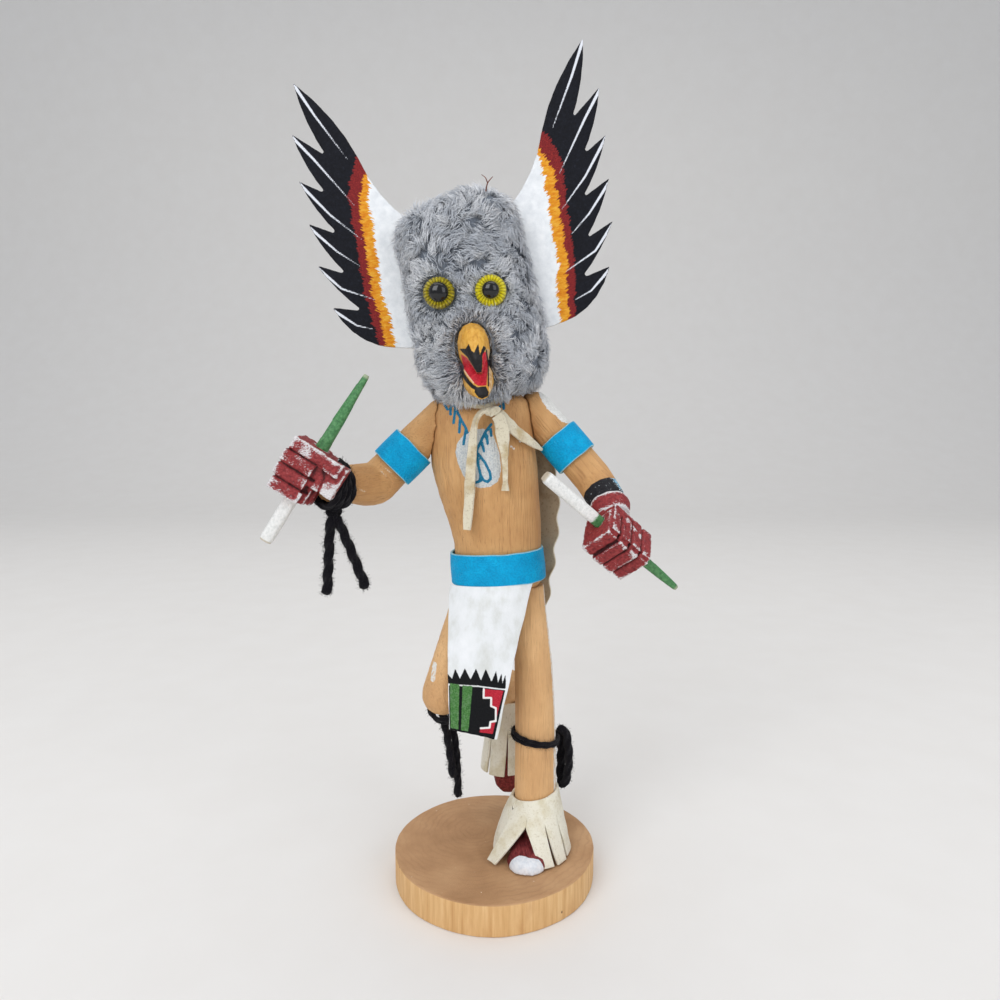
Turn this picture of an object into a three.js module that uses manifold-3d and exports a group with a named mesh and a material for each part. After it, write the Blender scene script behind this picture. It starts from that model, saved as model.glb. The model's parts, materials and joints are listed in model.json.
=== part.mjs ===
// A carved and painted dancer in an owl's mask, standing on a slice of a log.
//
// Millimetres, +Z up. The origin is the centre of the log slice's flat underside.
// The front of the figure looks along -Y, so +X is on the viewer's right, which is
// the figure's own left side.

import * as THREE from 'three';
import { mergeVertices } from 'three/addons/utils/BufferGeometryUtils.js';
import loadManifold from 'manifold-3d';

const wasm = await loadManifold();
wasm.setup();

// ---------------------------------------------------------------- driving dimensions

const GAP = 0.3; // clearance between neighbouring pieces
const FINENESS = 0.05; // slivers thinner than this are dropped after a cut
const LEATHER = 1.2; // thickness of the turquoise leather
const SUEDE = 1.3; // thickness of the cream suede
const YARN = 3.8; // thickness of the black yarn
const WRIST_YARN = 4.4; // thickness of the fuller yarn at the wrist

const BASE_RADIUS = 46.6;
const BASE_HEIGHT = 14.5;
const BASE_EDGE = 0.8; // sanded edge of the slice

const FIGURE_TURN = -10; // degrees, the body faces a little to the viewer's left

const HIP_HEIGHT = 139.6; // where the legs meet the trunk
const BELT_BOTTOM = 141.5;
const BELT_TOP = 155.5;
const BELT_TILT = 4; // degrees, higher on the viewer's right

const HEAD_FOOT = point(-3.2, 0.5, 223.1); // bottom centre of the mask
const HEAD_ROLL = -8.3; // degrees, the crown leans to the viewer's left
const HEAD_HEIGHT = 85;

const WING_THICKNESS = 2.6;
const WING_DEPTH = 3; // the wings stand this far behind the mask's centre

const ARM_RADIUS = 8.4;
const BAND_WIDTH = 14;


// ---------------------------------------------------------------- small helpers

function point(x, y, z) {
  return new THREE.Vector3(x, y, z);
}

function radians(degrees) {
  return THREE.MathUtils.degToRad(degrees);
}

/** Drops everything but the positions and welds the corners that meet. */
function welded(geometry) {
  const bare = geometry.clone();
  bare.deleteAttribute('normal');
  bare.deleteAttribute('uv');
  const joined = mergeVertices(bare, 1e-4);
  const corners = [];
  const index = joined.index.array;
  for (let i = 0; i < index.length; i += 3) {
    const [a, b, c] = [index[i], index[i + 1], index[i + 2]];
    if (a !== b && b !== c && c !== a) corners.push(a, b, c);
  }
  joined.setIndex(corners);
  return joined;
}

function toSolid(geometry) {
  const shape = welded(geometry);
  return new wasm.Manifold(new wasm.Mesh({
    numProp: 3,
    vertProperties: new Float32Array(shape.attributes.position.array),
    triVerts: new Uint32Array(shape.index.array),
  }));
}

function toGeometry(solid) {
  const mesh = solid.simplify(FINENESS).getMesh();
  const geometry = new THREE.BufferGeometry();
  geometry.setAttribute('position', new THREE.BufferAttribute(mesh.vertProperties, 3));
  geometry.setIndex(new THREE.BufferAttribute(mesh.triVerts, 1));
  return geometry;
}

function join(...geometries) {
  return toGeometry(geometries.map(toSolid).reduce((whole, next) => whole.add(next)));
}

function cut(geometry, ...tools) {
  return toGeometry(tools.map(toSolid).reduce((whole, tool) => whole.subtract(tool), toSolid(geometry)));
}

/** Moves a shape into a frame, and keeps its faces outward when the frame is a mirrored one. */
function placed(geometry, matrix) {
  const moved = welded(geometry).applyMatrix4(matrix);
  if (matrix.determinant() > 0) return moved;
  const index = moved.index.array;
  for (let i = 0; i < index.length; i += 3) [index[i], index[i + 1]] = [index[i + 1], index[i]];
  return moved;
}

/**
 * A closed skin over oval sections, each with a centre and two half-axes u and v.
 * A power above 2 squares the ovals off.
 */
function loft(levels, sides, power = 2) {
  const last = levels.length - 1;
  const skin = new THREE.CylinderGeometry(1, 1, 1, sides, last);
  const position = skin.attributes.position;
  const roundness = 2 / power;
  const travel = levels[last].centre.clone().sub(levels[0].centre);
  const middle = levels[Math.floor(last / 2 + 0.5)];
  const hand = Math.sign(new THREE.Vector3().crossVectors(middle.u, middle.v).dot(travel));
  for (let i = 0; i < position.count; i++) {
    const { centre, u, v } = levels[Math.round((position.getY(i) + 0.5) * last)];
    const x = position.getX(i);
    const y = -position.getZ(i) * hand;
    const along = Math.sign(x) * Math.abs(x) ** roundness;
    const across = Math.sign(y) * Math.abs(y) ** roundness;
    const where = centre.clone().addScaledVector(u, along).addScaledVector(v, across);
    position.setXYZ(i, where.x, where.y, where.z);
  }
  return welded(skin);
}

/** Two unit vectors square to an axis, the first one as level as it can be. */
function sideways(axis) {
  const up = Math.abs(axis.z) > 0.95 ? point(0, 1, 0) : point(0, 0, 1);
  const u = new THREE.Vector3().crossVectors(axis, up).normalize();
  return [u, new THREE.Vector3().crossVectors(axis, u)];
}

/** A straight round limb. Each end is a half ball, or flat where its flag says so. */
function limb(from, to, fromRadius, toRadius, { sides = 12, flatStart = false, flatEnd = false } = {}) {
  const axis = to.clone().sub(from).normalize();
  const [u, v] = sideways(axis);
  const rings = 3;
  const levels = [];
  const ring = (centre, shift, radius) => levels.push({
    centre: centre.clone().addScaledVector(axis, shift),
    u: u.clone().multiplyScalar(radius),
    v: v.clone().multiplyScalar(radius),
  });
  for (let k = flatStart ? rings : 0; k <= rings; k++) {
    const angle = (k / rings) * Math.PI / 2;
    ring(from, -fromRadius * Math.cos(angle), fromRadius * Math.sin(angle));
  }
  for (let k = 0; k <= (flatEnd ? 0 : rings); k++) {
    const angle = (k / rings) * Math.PI / 2;
    ring(to, toRadius * Math.sin(angle), toRadius * Math.cos(angle));
  }
  return loft(levels, sides);
}

/** A box by its two opposite corners. */
function block(low, high) {
  const size = high.clone().sub(low);
  const middle = low.clone().add(high).multiplyScalar(0.5);
  return new THREE.BoxGeometry(size.x, size.y, size.z).translate(middle.x, middle.y, middle.z);
}

/** A ring round an axis, turned from a closed profile of [radius, height] pairs. */
function ringAbout(centre, axis, profile, sides) {
  const outline = [...profile, profile[0]].map(([radius, height]) => new THREE.Vector2(radius, height));
  const turn = new THREE.Quaternion().setFromUnitVectors(point(0, 1, 0), axis.clone().normalize());
  const frame = new THREE.Matrix4().compose(centre, turn, point(1, 1, 1));
  return placed(new THREE.LatheGeometry(outline, sides), frame);
}

/** The rounded section of a piece of yarn wound flat against what it is tied round. */
function yarnProfile(innerRadius, width, depth) {
  const corners = 6;
  return Array.from({ length: corners }, (_, k) => {
    const angle = (k + 0.5) / corners * 2 * Math.PI;
    return [innerRadius + depth / 2 * (1 + Math.cos(angle)), width / 2 * Math.sin(angle)];
  });
}

/** A round cord swept along a smooth line through the given points. */
function strand(points, thickness, steps) {
  const sides = 8;
  const section = new THREE.Shape(Array.from({ length: sides }, (_, k) => {
    const angle = (k + 0.5) / sides * 2 * Math.PI;
    return new THREE.Vector2(thickness / 2 * Math.cos(angle), thickness / 2 * Math.sin(angle));
  }));
  const extrudePath = new THREE.CatmullRomCurve3(points);
  return welded(new THREE.ExtrudeGeometry(section, { steps, extrudePath }));
}

/** A flat strip laid along the points, with its width along a fixed direction. */
function strip(points, widthAxis, widths, thickness) {
  const last = points.length - 1;
  return loft(points.map((centre, k) => {
    const travel = points[Math.min(k + 1, last)].clone().sub(points[Math.max(k - 1, 0)]).normalize();
    const flat = widthAxis.clone().addScaledVector(travel, -widthAxis.dot(travel));
    const half = (widths[0] + (widths[1] - widths[0]) * k / last) / 2;
    const u = flat.setLength(half);
    const v = new THREE.Vector3().crossVectors(travel, u).setLength(thickness / 2);
    // The four corners of the strip are the ends of a four-sided oval's axes.
    return { centre, u: u.clone().add(v), v: v.clone().sub(u) };
  }), 4);
}

// ---------------------------------------------------------------- materials and scene

const doll = new THREE.Group();

const finishes = {
  raw_wood: [0xbf9569, 0.7],
  tan_paint: [0xbe8c55, 0.6],
  fist_paint: [0x7d2830, 0.7],
  fur: [0x78808a, 1.0],
  beak_paint: [0xcd9b3c, 0.5],
  eye: [0xd7cd0a, 0.15],
  wing_paint: [0x1e202a, 0.7],
  wand_paint: [0x417d46, 0.5],
  turquoise_leather: [0x0a9bcd, 0.6],
  white_leather: [0xe1e6e6, 0.7],
  suede: [0xcdc8af, 0.95],
  yarn: [0x141219, 1.0],
};

function add(name, finish, geometry) {
  const [color, roughness] = finishes[finish];
  const mesh = new THREE.Mesh(geometry, new THREE.MeshStandardMaterial({ color, roughness, metalness: 0 }));
  mesh.name = name;
  doll.add(mesh);
}

// ---------------------------------------------------------------- base

/** The slice's outline is a circle with a few slow swellings, as a small trunk has. */
function logSlice() {
  const corners = 40;
  const outline = new THREE.Shape(Array.from({ length: corners }, (_, k) => {
    const angle = k / corners * 2 * Math.PI;
    const swelling = 0.35 * Math.sin(2 * angle + 0.6) + 0.25 * Math.sin(3 * angle) + 0.15 * Math.sin(7 * angle);
    const radius = BASE_RADIUS + swelling;
    return new THREE.Vector2(radius * Math.cos(angle), radius * Math.sin(angle));
  }));
  return new THREE.ExtrudeGeometry(outline, {
    depth: BASE_HEIGHT - 2 * BASE_EDGE,
    bevelThickness: BASE_EDGE,
    bevelSize: BASE_EDGE,
    bevelOffset: -BASE_EDGE,
    bevelSegments: 1,
  }).translate(0, 0, BASE_EDGE);
}

// ---------------------------------------------------------------- trunk

/** Height, centre, half width and half depth of the trunk from the hips to the shoulders. */
const TRUNK = [
  [HIP_HEIGHT, 1.5, 19.4, 14.4],
  [150, 1.6, 19.4, 14.6],
  [158, 1.6, 19.6, 15.0],
  [168, 0.2, 20.9, 15.6],
  [180, -2.3, 22.5, 16.2],
  [193, -4.3, 23.9, 16.4],
  [206, -5.6, 23.2, 16.0],
  [216, -5.6, 22.4, 14.8],
  [221.5, -5.0, 20.5, 12.8],
  [224.5, -5.0, 17.0, 9.5],
];

function trunk(growth = 0) {
  const u = point(Math.cos(radians(FIGURE_TURN)), Math.sin(radians(FIGURE_TURN)), 0);
  const v = point(-u.y, u.x, 0);
  const levels = TRUNK.map(([height, centreX, halfWidth, halfDepth]) => ({
    centre: point(centreX, 0, height),
    u: u.clone().multiplyScalar(halfWidth + growth),
    v: v.clone().multiplyScalar(halfDepth + growth),
  }));
  return loft(levels, 24, 2.3);
}

// ---------------------------------------------------------------- mask

/** The mask's own frame: x to the viewer's right, y back, z up along the leaning axis. */
const maskFrame = new THREE.Matrix4().compose(
  HEAD_FOOT,
  new THREE.Quaternion().setFromAxisAngle(point(0, 1, 0), radians(HEAD_ROLL)),
  point(1, 1, 1),
);

/** Height, centre, half width and half depth of the fur-covered mask in its own frame. */
const MASK = [
  [1.0, 0.6, 19.0, 19.0],
  [4.0, 0.9, 22.6, 22.6],
  [10.0, 1.0, 25.4, 25.4],
  [20.0, 0.9, 27.0, 26.6],
  [32.0, 0.4, 27.2, 27.0],
  [46.0, -0.4, 26.6, 26.6],
  [60.0, -1.4, 26.0, 25.8],
  [72.0, -2.2, 25.6, 25.0],
  [79.0, -2.6, 24.4, 23.4],
  [83.0, -2.6, 21.0, 20.0],
  [HEAD_HEIGHT, -2.4, 15.0, 14.0],
];

function maskForm(growth = 0) {
  const levels = MASK.map(([height, centreX, halfWidth, halfDepth], k) => ({
    centre: point(centreX, 0, height + (k === 0 ? -growth : 0)),
    u: point(halfWidth + growth, 0, 0),
    v: point(0, halfDepth + growth, 0),
  }));
  return loft(levels, 26, 2.2);
}

// ---------------------------------------------------------------- wings

/** Feather tips and the notches under them, from the top: [tip x, tip z, notch x, notch z]. */
const FEATHERS = [
  [62.7, 144.4, 53.4, 112.4],
  [67.0, 123.8, 56.1, 97.0],
  [67.2, 104.0, 53.5, 79.2],
  [66.2, 85.9, 52.9, 62.1],
  [65.6, 68.0, 48.7, 45.7],
];
const LAST_TIP = [61.8, 49.0];
const WING_ROOT = 21.5; // the hidden edge inside the mask

/** One wing in the mask's frame, for the viewer's right, or mirrored for the left. */
function wing(side, growth = 0) {
  const outline = new THREE.Shape();
  outline.moveTo(WING_ROOT - growth, 25.5 - growth);
  outline.quadraticCurveTo(36, 27, 44, 29.8 - growth);
  outline.quadraticCurveTo(56, 35, ...LAST_TIP);
  [...FEATHERS].reverse().forEach(([tipX, tipZ, notchX, notchZ], k) => {
    outline.lineTo(notchX, notchZ);
    const bulge = 0.09 * (tipZ - notchZ);
    outline.quadraticCurveTo((tipX + notchX) / 2 + bulge, (tipZ + notchZ) / 2 - bulge / 2, tipX, tipZ);
  });
  outline.quadraticCurveTo(46.5, 128, 40.2, 110);
  outline.quadraticCurveTo(35, 92, WING_ROOT - growth, 80 + growth);
  const thickness = WING_THICKNESS + 2 * growth;
  const plate = new THREE.ExtrudeGeometry(outline, { depth: thickness, bevelEnabled: false, curveSegments: 4 })
    .translate(0, 0, -thickness / 2);
  // The drawing's x, y and thickness become the frame's x, z and depth.
  const upright = new THREE.Matrix4().set(side, 0, 0, 0, 0, 0, -1, WING_DEPTH, 0, 1, 0, 0, 0, 0, 0, 1);
  return placed(plate, upright);
}

// ---------------------------------------------------------------- eyes and beak

const EYE_RADIUS = 6.5;
const RIGHT_EYE = point(-12.7, -26.2, 43.7);
const LEFT_EYE = point(8.1, -26.4, 41.5);

/** A moulded eye: a sloping yellow ring with a domed pupil, set on a flat back. */
function eye(centre, growth = 0) {
  const front = [[EYE_RADIUS, 0.6], [5.4, 2.0], [3.4, 2.7], [2.8, 4.2], [1.5, 5.0]];
  const outline = [
    new THREE.Vector2(0, -2 - growth),
    new THREE.Vector2(EYE_RADIUS + growth, -2 - growth),
    ...front.map(([radius, height]) => new THREE.Vector2(radius + growth, height + growth)),
    new THREE.Vector2(0, 5.2 + growth),
  ];
  return new THREE.LatheGeometry(outline, 16)
    .rotateX(Math.PI)
    .translate(centre.x, centre.y, centre.z);
}

/** Levels of a beak half: place in the mask's side view, half width and half thickness. */
function beakHalf(stations, growth, sides) {
  const levels = stations.map(([y, z, halfWidth, halfThickness], k) => {
    const [y0, z0] = stations[Math.max(k - 1, 0)];
    const [y1, z1] = stations[Math.min(k + 1, stations.length - 1)];
    const travel = point(0, y1 - y0, z1 - z0).normalize();
    const u = point(-1, 0, 0);
    const v = new THREE.Vector3().crossVectors(travel, u);
    return {
      centre: point(-2.2 + 0.07 * -(y + 24), y, z),
      u: u.multiplyScalar(halfWidth + growth),
      v: v.multiplyScalar(halfThickness + growth),
    };
  });
  return loft(levels, sides, 2.2);
}

function beak(growth = 0) {
  const upper = beakHalf([
    [-21 + growth, 20, 6.4, 9.6], [-29, 20.4, 6.4, 9.4], [-35.5, 19.4, 5.8, 7.6],
    [-40.5, 16.4, 4.4, 5.4], [-43.6, 12.4, 2.7, 3.0], [-44.6, 8.6, 1.1, 1.1],
  ], growth, 14);
  const lower = beakHalf([
    [-21 + growth, 8, 6.2, 8.0], [-28, 7.4, 6.2, 7.4], [-33, 5.0, 5.4, 5.0], [-37, 1.8, 3.8, 2.8],
    [-39, -0.6, 2.0, 1.2],
  ], growth, 14);
  return join(upper, lower);
}

// ---------------------------------------------------------------- arms

const RIGHT_ARM = {
  shoulder: point(-22, 1, 215.5),
  elbow: point(-52, -4, 185.8),
  wrist: point(-68.6, -29.4, 187.2),
  radii: [ARM_RADIUS, 9.3, 7.3],
};

const LEFT_ARM = {
  shoulder: point(18, 0.5, 218),
  elbow: point(43.4, -6, 188),
  wrist: point(49.2, -15.5, 178),
  radii: [ARM_RADIUS - 0.2, 8.4, 8.2],
};

function armForm({ shoulder, elbow, wrist, radii }, growth = 0) {
  const [atShoulder, atElbow, atWrist] = radii.map((radius) => radius + growth);
  const reach = wrist.clone().sub(elbow).setLength(growth);
  return join(
    limb(shoulder, elbow, atShoulder, atElbow),
    limb(elbow, wrist.clone().add(reach), atElbow, atWrist, { flatEnd: true }),
  );
}

/** A leather band round the upper arm, its middle a given part of the way to the elbow. */
function armband({ shoulder, elbow, radii }, part) {
  const inner = radii[0] + (radii[1] - radii[0]) * part + GAP + 0.1;
  const outer = inner + LEATHER;
  const half = BAND_WIDTH / 2;
  const axis = elbow.clone().sub(shoulder);
  const profile = [[inner, -half], [outer, -half], [outer, half], [inner, half]];
  return ringAbout(shoulder.clone().lerp(elbow, part), axis, profile, 24);
}

// ---------------------------------------------------------------- fists

/**
 * A fist's frame: x runs from the first finger to the little one, along the wand that
 * it holds, y from the wrist to the knuckles, z from the palm to the back of the hand.
 * The left hand's frame is a mirrored one.
 */
function fistFrame(centre, alongWand, towardKnuckles, mirrored) {
  const x = alongWand.clone().normalize();
  const y = towardKnuckles.clone().addScaledVector(x, -x.dot(towardKnuckles)).normalize();
  const z = new THREE.Vector3().crossVectors(x, y).multiplyScalar(mirrored ? -1 : 1);
  return new THREE.Matrix4().makeBasis(x, y, z).setPosition(centre);
}

const RIGHT_WAND = { butt: point(-92.5, -35, 164.8), tip: point(-50.2, -35, 231.2), radius: 2.7 };
const LEFT_WAND = { butt: point(20.4, -40, 191.5), tip: point(78.1, -20, 141.8), radius: 2.4 };

const RIGHT_FIST = fistFrame(point(-74.6, -35, 192.2), point(-0.537, 0, -0.843), point(-0.843, 0, 0.537), false);
const LEFT_FIST = fistFrame(point(51.4, -29.2, 164.7), point(0.732, 0.254, -0.631), point(0.11, -0.667, -0.736), true);

const FINGER = 5.9; // width of one carved finger
const FINGER_GAP = 0.5; // the cut between two fingers

function fist(frame) {
  const pieces = [
    // Back of the hand and the heel of the palm.
    block(point(-10.6, -7, 0.5), point(11.6, 8.5, 8)),
    block(point(-10.4, -14, -6.5), point(3.4, -2.2, 1)),
    // Core that the fingers wrap round.
    block(point(-11.0, -5.6, -5), point(11.4, 9, 1)),
    // Thumb, laid across the first two fingers.
    block(point(-11.2, -12, -8.2), point(-5.4, 1.6, -5)),
  ];
  for (let k = 0; k < 4; k++) {
    const low = -11.6 + k * FINGER;
    const high = low + FINGER - FINGER_GAP;
    const step = [0, 0.9, 0.7, -0.3][k];
    pieces.push(block(point(low, -3.4 + step, -8.4), point(high, 10.4 + step, 6.6)));
  }
  return placed(join(...pieces), frame);
}

/** A whittled wand with a square butt, tapering to its tip. */
function wand({ butt, tip, radius }, growth = 0) {
  const axis = tip.clone().sub(butt).normalize();
  const [u, v] = sideways(axis);
  const length = butt.distanceTo(tip);
  const levels = [[0, 1], [0.42, 1], [0.72, 0.8], [0.94, 0.42], [1, 0.2]].map(([part, share]) => ({
    centre: butt.clone().addScaledVector(axis, part * length),
    u: u.clone().multiplyScalar(radius * share + growth),
    v: v.clone().multiplyScalar(radius * share + growth),
  }));
  return loft(levels, 8, 2.6);
}

// ---------------------------------------------------------------- legs

const RIGHT_LEG = {
  hip: point(-7.0, -0.5, HIP_HEIGHT - GAP),
  knee: point(-23.4, -8.5, 90.5),
  heel: point(7.4, 30, 80),
  radii: [9.8, 9.4, 8.6],
};

/** A moccasin by its heel, toe, length of the sole and the height at the instep. */
function moccasin(levels) {
  return loft(levels, 14, 2.4);
}

function rightLegForm(growth = 0) {
  const { hip, knee, heel } = RIGHT_LEG;
  const radii = RIGHT_LEG.radii.map((radius) => radius + growth);
  const foot = moccasin([
    [31.5, 74, 8.4, 8.4], [32.5, 62, 7.6, 7.8], [33.5, 48, 8.2, 7.6],
    [34.5, 34, 8.4, 6.4], [35.5, 26, 6.6, 4.8], [36.0, 22, 3.4, 2.6],
  ].map(([y, z, halfWidth, halfDepth]) => ({
    centre: point(7, y, z),
    u: point(halfWidth + growth, 0, 0),
    v: point(0, halfDepth + growth, 0),
  })));
  return join(
    limb(hip.clone().add(point(2, 1, 6)), knee, radii[0], radii[1], { flatStart: true }),
    limb(knee, heel, radii[1], radii[2]),
    foot,
  );
}

/** The standing foot points the way the figure faces, with a flat sole on the log slice. */
function standingFoot(growth) {
  const sole = BASE_HEIGHT + GAP;
  const forward = point(-0.19, -0.98, 0).normalize();
  const across = point(forward.y, -forward.x, 0);
  const stations = [
    [-9.6, 5.0, 6.0], [-7.6, 7.8, 10.5], [-1, 8.8, 12.0], [7, 8.6, 10.5], [14, 8.9, 8.6],
    [20, 8.4, 7.2], [25, 6.4, 6.0], [28, 3.2, 4.4],
  ];
  const foot = moccasin(stations.map(([ahead, halfWidth, height]) => ({
    centre: point(18.6, 0.5, sole).addScaledVector(forward, ahead),
    u: across.clone().multiplyScalar(halfWidth + growth),
    v: point(0, 0, -height - growth),
  })));
  return cut(foot, block(point(-20, -50, sole - 20), point(60, 40, sole)));
}

/** Height, centre and radius of the standing leg, a little bowed, from the ankle up. */
const LEFT_LEG = [
  [25, 19.1, 9.6],
  [43, 19.1, 9.7],
  [67.5, 19.1, 9.5],
  [84.4, 18.7, 9.2],
  [103.4, 17.9, 8.7],
  [131.6, 14.6, 8.7],
  [HIP_HEIGHT - GAP, 13.9, 8.7],
];

function leftLegForm(growth = 0) {
  const shank = loft(LEFT_LEG.map(([height, centreX, radius]) => ({
    centre: point(centreX, 0, height),
    u: point(radius + growth, 0, 0),
    v: point(0, radius + growth, 0),
  })), 18);
  return join(shank, standingFoot(growth));
}

// ---------------------------------------------------------------- belt, apron and hide

function belt() {
  const ring = (growth, power) => {
    const corners = 30;
    return Array.from({ length: corners }, (_, k) => {
      const angle = k / corners * 2 * Math.PI;
      const across = Math.sign(Math.cos(angle)) * Math.abs(Math.cos(angle)) ** (2 / power);
      const back = Math.sign(Math.sin(angle)) * Math.abs(Math.sin(angle)) ** (2 / power);
      return new THREE.Vector2((20.3 + growth) * across, (15.8 + growth) * back);
    });
  };
  const outline = new THREE.Shape(ring(LEATHER, 2.3));
  outline.holes.push(new THREE.Path(ring(0, 2.3)));
  const height = BELT_TOP - BELT_BOTTOM;
  return new THREE.ExtrudeGeometry(outline, { depth: height, bevelEnabled: false })
    .translate(0, 0, -height / 2)
    .rotateZ(radians(FIGURE_TURN))
    .rotateY(radians(-BELT_TILT))
    .translate(1.6, 0, (BELT_TOP + BELT_BOTTOM) / 2);
}

/** A thin hanging sheet, whose place comes from how far across and how far down a spot is. */
function hanging(columns, rows, thickness, place) {
  const sheet = new THREE.BoxGeometry(1, thickness, 1, columns, 1, rows);
  const position = sheet.attributes.position;
  for (let i = 0; i < position.count; i++) {
    const spot = place(position.getX(i) + 0.5, 0.5 - position.getZ(i));
    position.setXYZ(i, spot.x, spot.y + position.getY(i), spot.z);
  }
  return welded(sheet);
}

const APRON_TOP = BELT_BOTTOM - 1.2;

function frontApron() {
  return hanging(6, 6, SUEDE, (across, down) => {
    const left = -19.6 - 0.6 * Math.sin(Math.PI * down);
    const right = 16.9 - 15.6 * down ** 0.9;
    const x = left + (right - left) * across;
    const bottom = 79.5 - 4.5 * across;
    const z = APRON_TOP - (APRON_TOP - bottom) * down;
    // Held flat to the belt's curve at the top, the leather straightens as it hangs.
    const curl = (1 - down) ** 1.5;
    const bow = 6.5 * (2 * across - 1) ** 2;
    const turn = Math.sin(radians(FIGURE_TURN)) * (x - 1.5);
    return point(x, -18.2 - 4 * down + (bow + turn) * curl, z);
  });
}

const CAPE_TOP = 214;
const CAPE_BOTTOM = 124;

/** The cape is gathered at the neck, widest over the back, and cut with a wavy edge. */
function cape() {
  return hanging(6, 14, SUEDE, (across, down) => {
    const edgeWave = 0.9 * Math.sin(26 * down - 3.4);
    const halfWidth = 34 * (1 - 0.68 * (1 - down) ** 4) - 13 * down + edgeWave;
    const side = 2 * across - 1;
    const x = 3.8 + side * halfWidth;
    const folds = 0.9 * Math.sin(across * 4 * Math.PI) * down;
    const turn = Math.sin(radians(FIGURE_TURN)) * side * halfWidth;
    const z = CAPE_TOP + (CAPE_BOTTOM - CAPE_TOP) * down;
    return point(x, 18.9 + 1.6 * down + folds + turn - 3 * side ** 4, z);
  });
}

// ---------------------------------------------------------------- ankle cuffs

/** A knife that cuts a V in a cuff, from its apex down past the hem. */
function slitKnife(apex, hem, outward, width) {
  const down = hem.clone().sub(apex);
  const length = down.length() * 1.15;
  down.normalize();
  const wedge = new THREE.Shape([
    new THREE.Vector2(-0.2, 0), new THREE.Vector2(0.2, 0),
    new THREE.Vector2(width / 2, length), new THREE.Vector2(-width / 2, length),
  ]);
  const across = new THREE.Vector3().crossVectors(down, outward).normalize();
  const out = new THREE.Vector3().crossVectors(across, down);
  const frame = new THREE.Matrix4().makeBasis(across, down, out).setPosition(apex.clone().addScaledVector(out, -6));
  return placed(new THREE.ExtrudeGeometry(wedge, { depth: 14, bevelEnabled: false }), frame);
}

/**
 * A flared, fringed suede cuff between an upper and a lower ring. Each slit has its
 * bearing in degrees, how far down it starts, as a part of the whole, and its width.
 */
function cuff(upper, lower, slits) {
  const sides = 16;
  const ring = ({ centre, radius, tilt = 0 }, growth, shift) => ({
    centre: centre.clone().add(point(0, 0, shift)),
    u: point(radius + growth, 0, tilt),
    v: point(0, radius + growth, 0),
  });
  const skin = (growth, shift) => loft([ring(lower, growth, -shift), ring(upper, growth, shift)], sides);
  const shell = cut(skin(SUEDE, 0), skin(0, 0.02));
  const at = ({ centre, radius }, bearing) =>
    centre.clone().add(point(radius * Math.cos(radians(bearing)), radius * Math.sin(radians(bearing)), 0));
  return cut(shell, ...slits.map(([bearing, start, width]) => {
    const hem = at(lower, bearing);
    const apex = at(upper, bearing).lerp(hem, start);
    return slitKnife(apex, hem, point(Math.cos(radians(bearing)), Math.sin(radians(bearing)), 0), width);
  }));
}

const LEFT_CUFF = [
  { centre: point(19.0, 0, 42), radius: 10.1, tilt: 2.4 },
  { centre: point(15.5, -4, BASE_HEIGHT + 0.7), radius: 19.6 },
  [[-103, 0.42, 20], [-49, 0.4, 1.6], [-27, 0.35, 1.6], [-2, 0.4, 1.6], [60, 0.4, 1.6], [130, 0.4, 1.6]],
];

const RIGHT_CUFF = [
  { centre: point(7.2, 31.5, 74.4), radius: 9.2 },
  { centre: point(5.6, 31.0, 36), radius: 11.2 },
  [[-32, 0.42, 14], [-90, 0.4, 1.4], [-135, 0.4, 1.4], [110, 0.4, 1.4]],
];

// ---------------------------------------------------------------- yarn

/** Yarn tied round a bent limb: the slice of its grown form that a slab takes out. */
function yarnBand(form, centre, normal, width, depth) {
  const slab = ringAbout(centre, normal, [[0, -width / 2], [30, -width / 2], [30, width / 2], [0, width / 2]], 12);
  const band = toSolid(form(GAP + depth)).intersect(toSolid(slab));
  return toGeometry(band.subtract(toSolid(form(GAP))));
}

const WRIST = RIGHT_ARM.wrist.clone().lerp(RIGHT_ARM.elbow, 0.12);
const WRIST_AXIS = RIGHT_ARM.wrist.clone().sub(RIGHT_ARM.elbow);
const WRIST_KNOT = point(-66.0, -28.6, 172.6);
const WRIST_KNOT_RADIUS = 2.8;

/** The wrist yarn goes round several times, so it stands as one thick ring. */
function wristRing(growth = 0) {
  const profile = yarnProfile(RIGHT_ARM.radii[2] + 0.5 - growth, 7.2 + 2 * growth, 3.2 + 2 * growth);
  return ringAbout(WRIST, WRIST_AXIS, profile, 18);
}

const RIGHT_GARTER = { centre: point(-17.8, -3.0, 88.5), normal: point(0.42, 0.57, -0.7), width: 4.2 };
const LEFT_GARTER = { centre: point(19, 0, 67.4), normal: point(-0.16, 0, -1), width: 3.4 };
const GARTER_DEPTH = 1.5;

/** The free ends of the yarn, each from the knot or ring that it leaves. */
const YARN_ENDS = {
  wrist_end_a: [point(-67.4, -30.2, 168.8), point(-67.6, -31.0, 162), point(-68.2, -31.4, 152), point(-69.0, -31.6, 142)],
  wrist_end_b: [point(-62.8, -29.6, 169.4), point(-59.6, -31.0, 162), point(-56.0, -31.6, 153), point(-53.0, -31.6, 145)],
  right_garter_end_a: [point(-24.4, 1.0, 75), point(-22.8, 1.4, 66), point(-21.2, 1.8, 56), point(-20.0, 2.0, 45.5)],
  right_garter_end_b: [point(-20.2, 4.0, 74), point(-18.8, 4.6, 63), point(-17.8, 5.0, 50), point(-17.4, 5.0, 35)],
  left_garter_loop: [
    point(31.8, 4.5, 69), point(34.4, 5.6, 64), point(35.6, 6.2, 53), point(34.6, 6.8, 43), point(31.8, 8.2, 39.6),
    point(31.2, 9.8, 46), point(31.4, 10.2, 55), point(30.6, 10.2, 64),
  ],
};

// ---------------------------------------------------------------- neck tie

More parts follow.
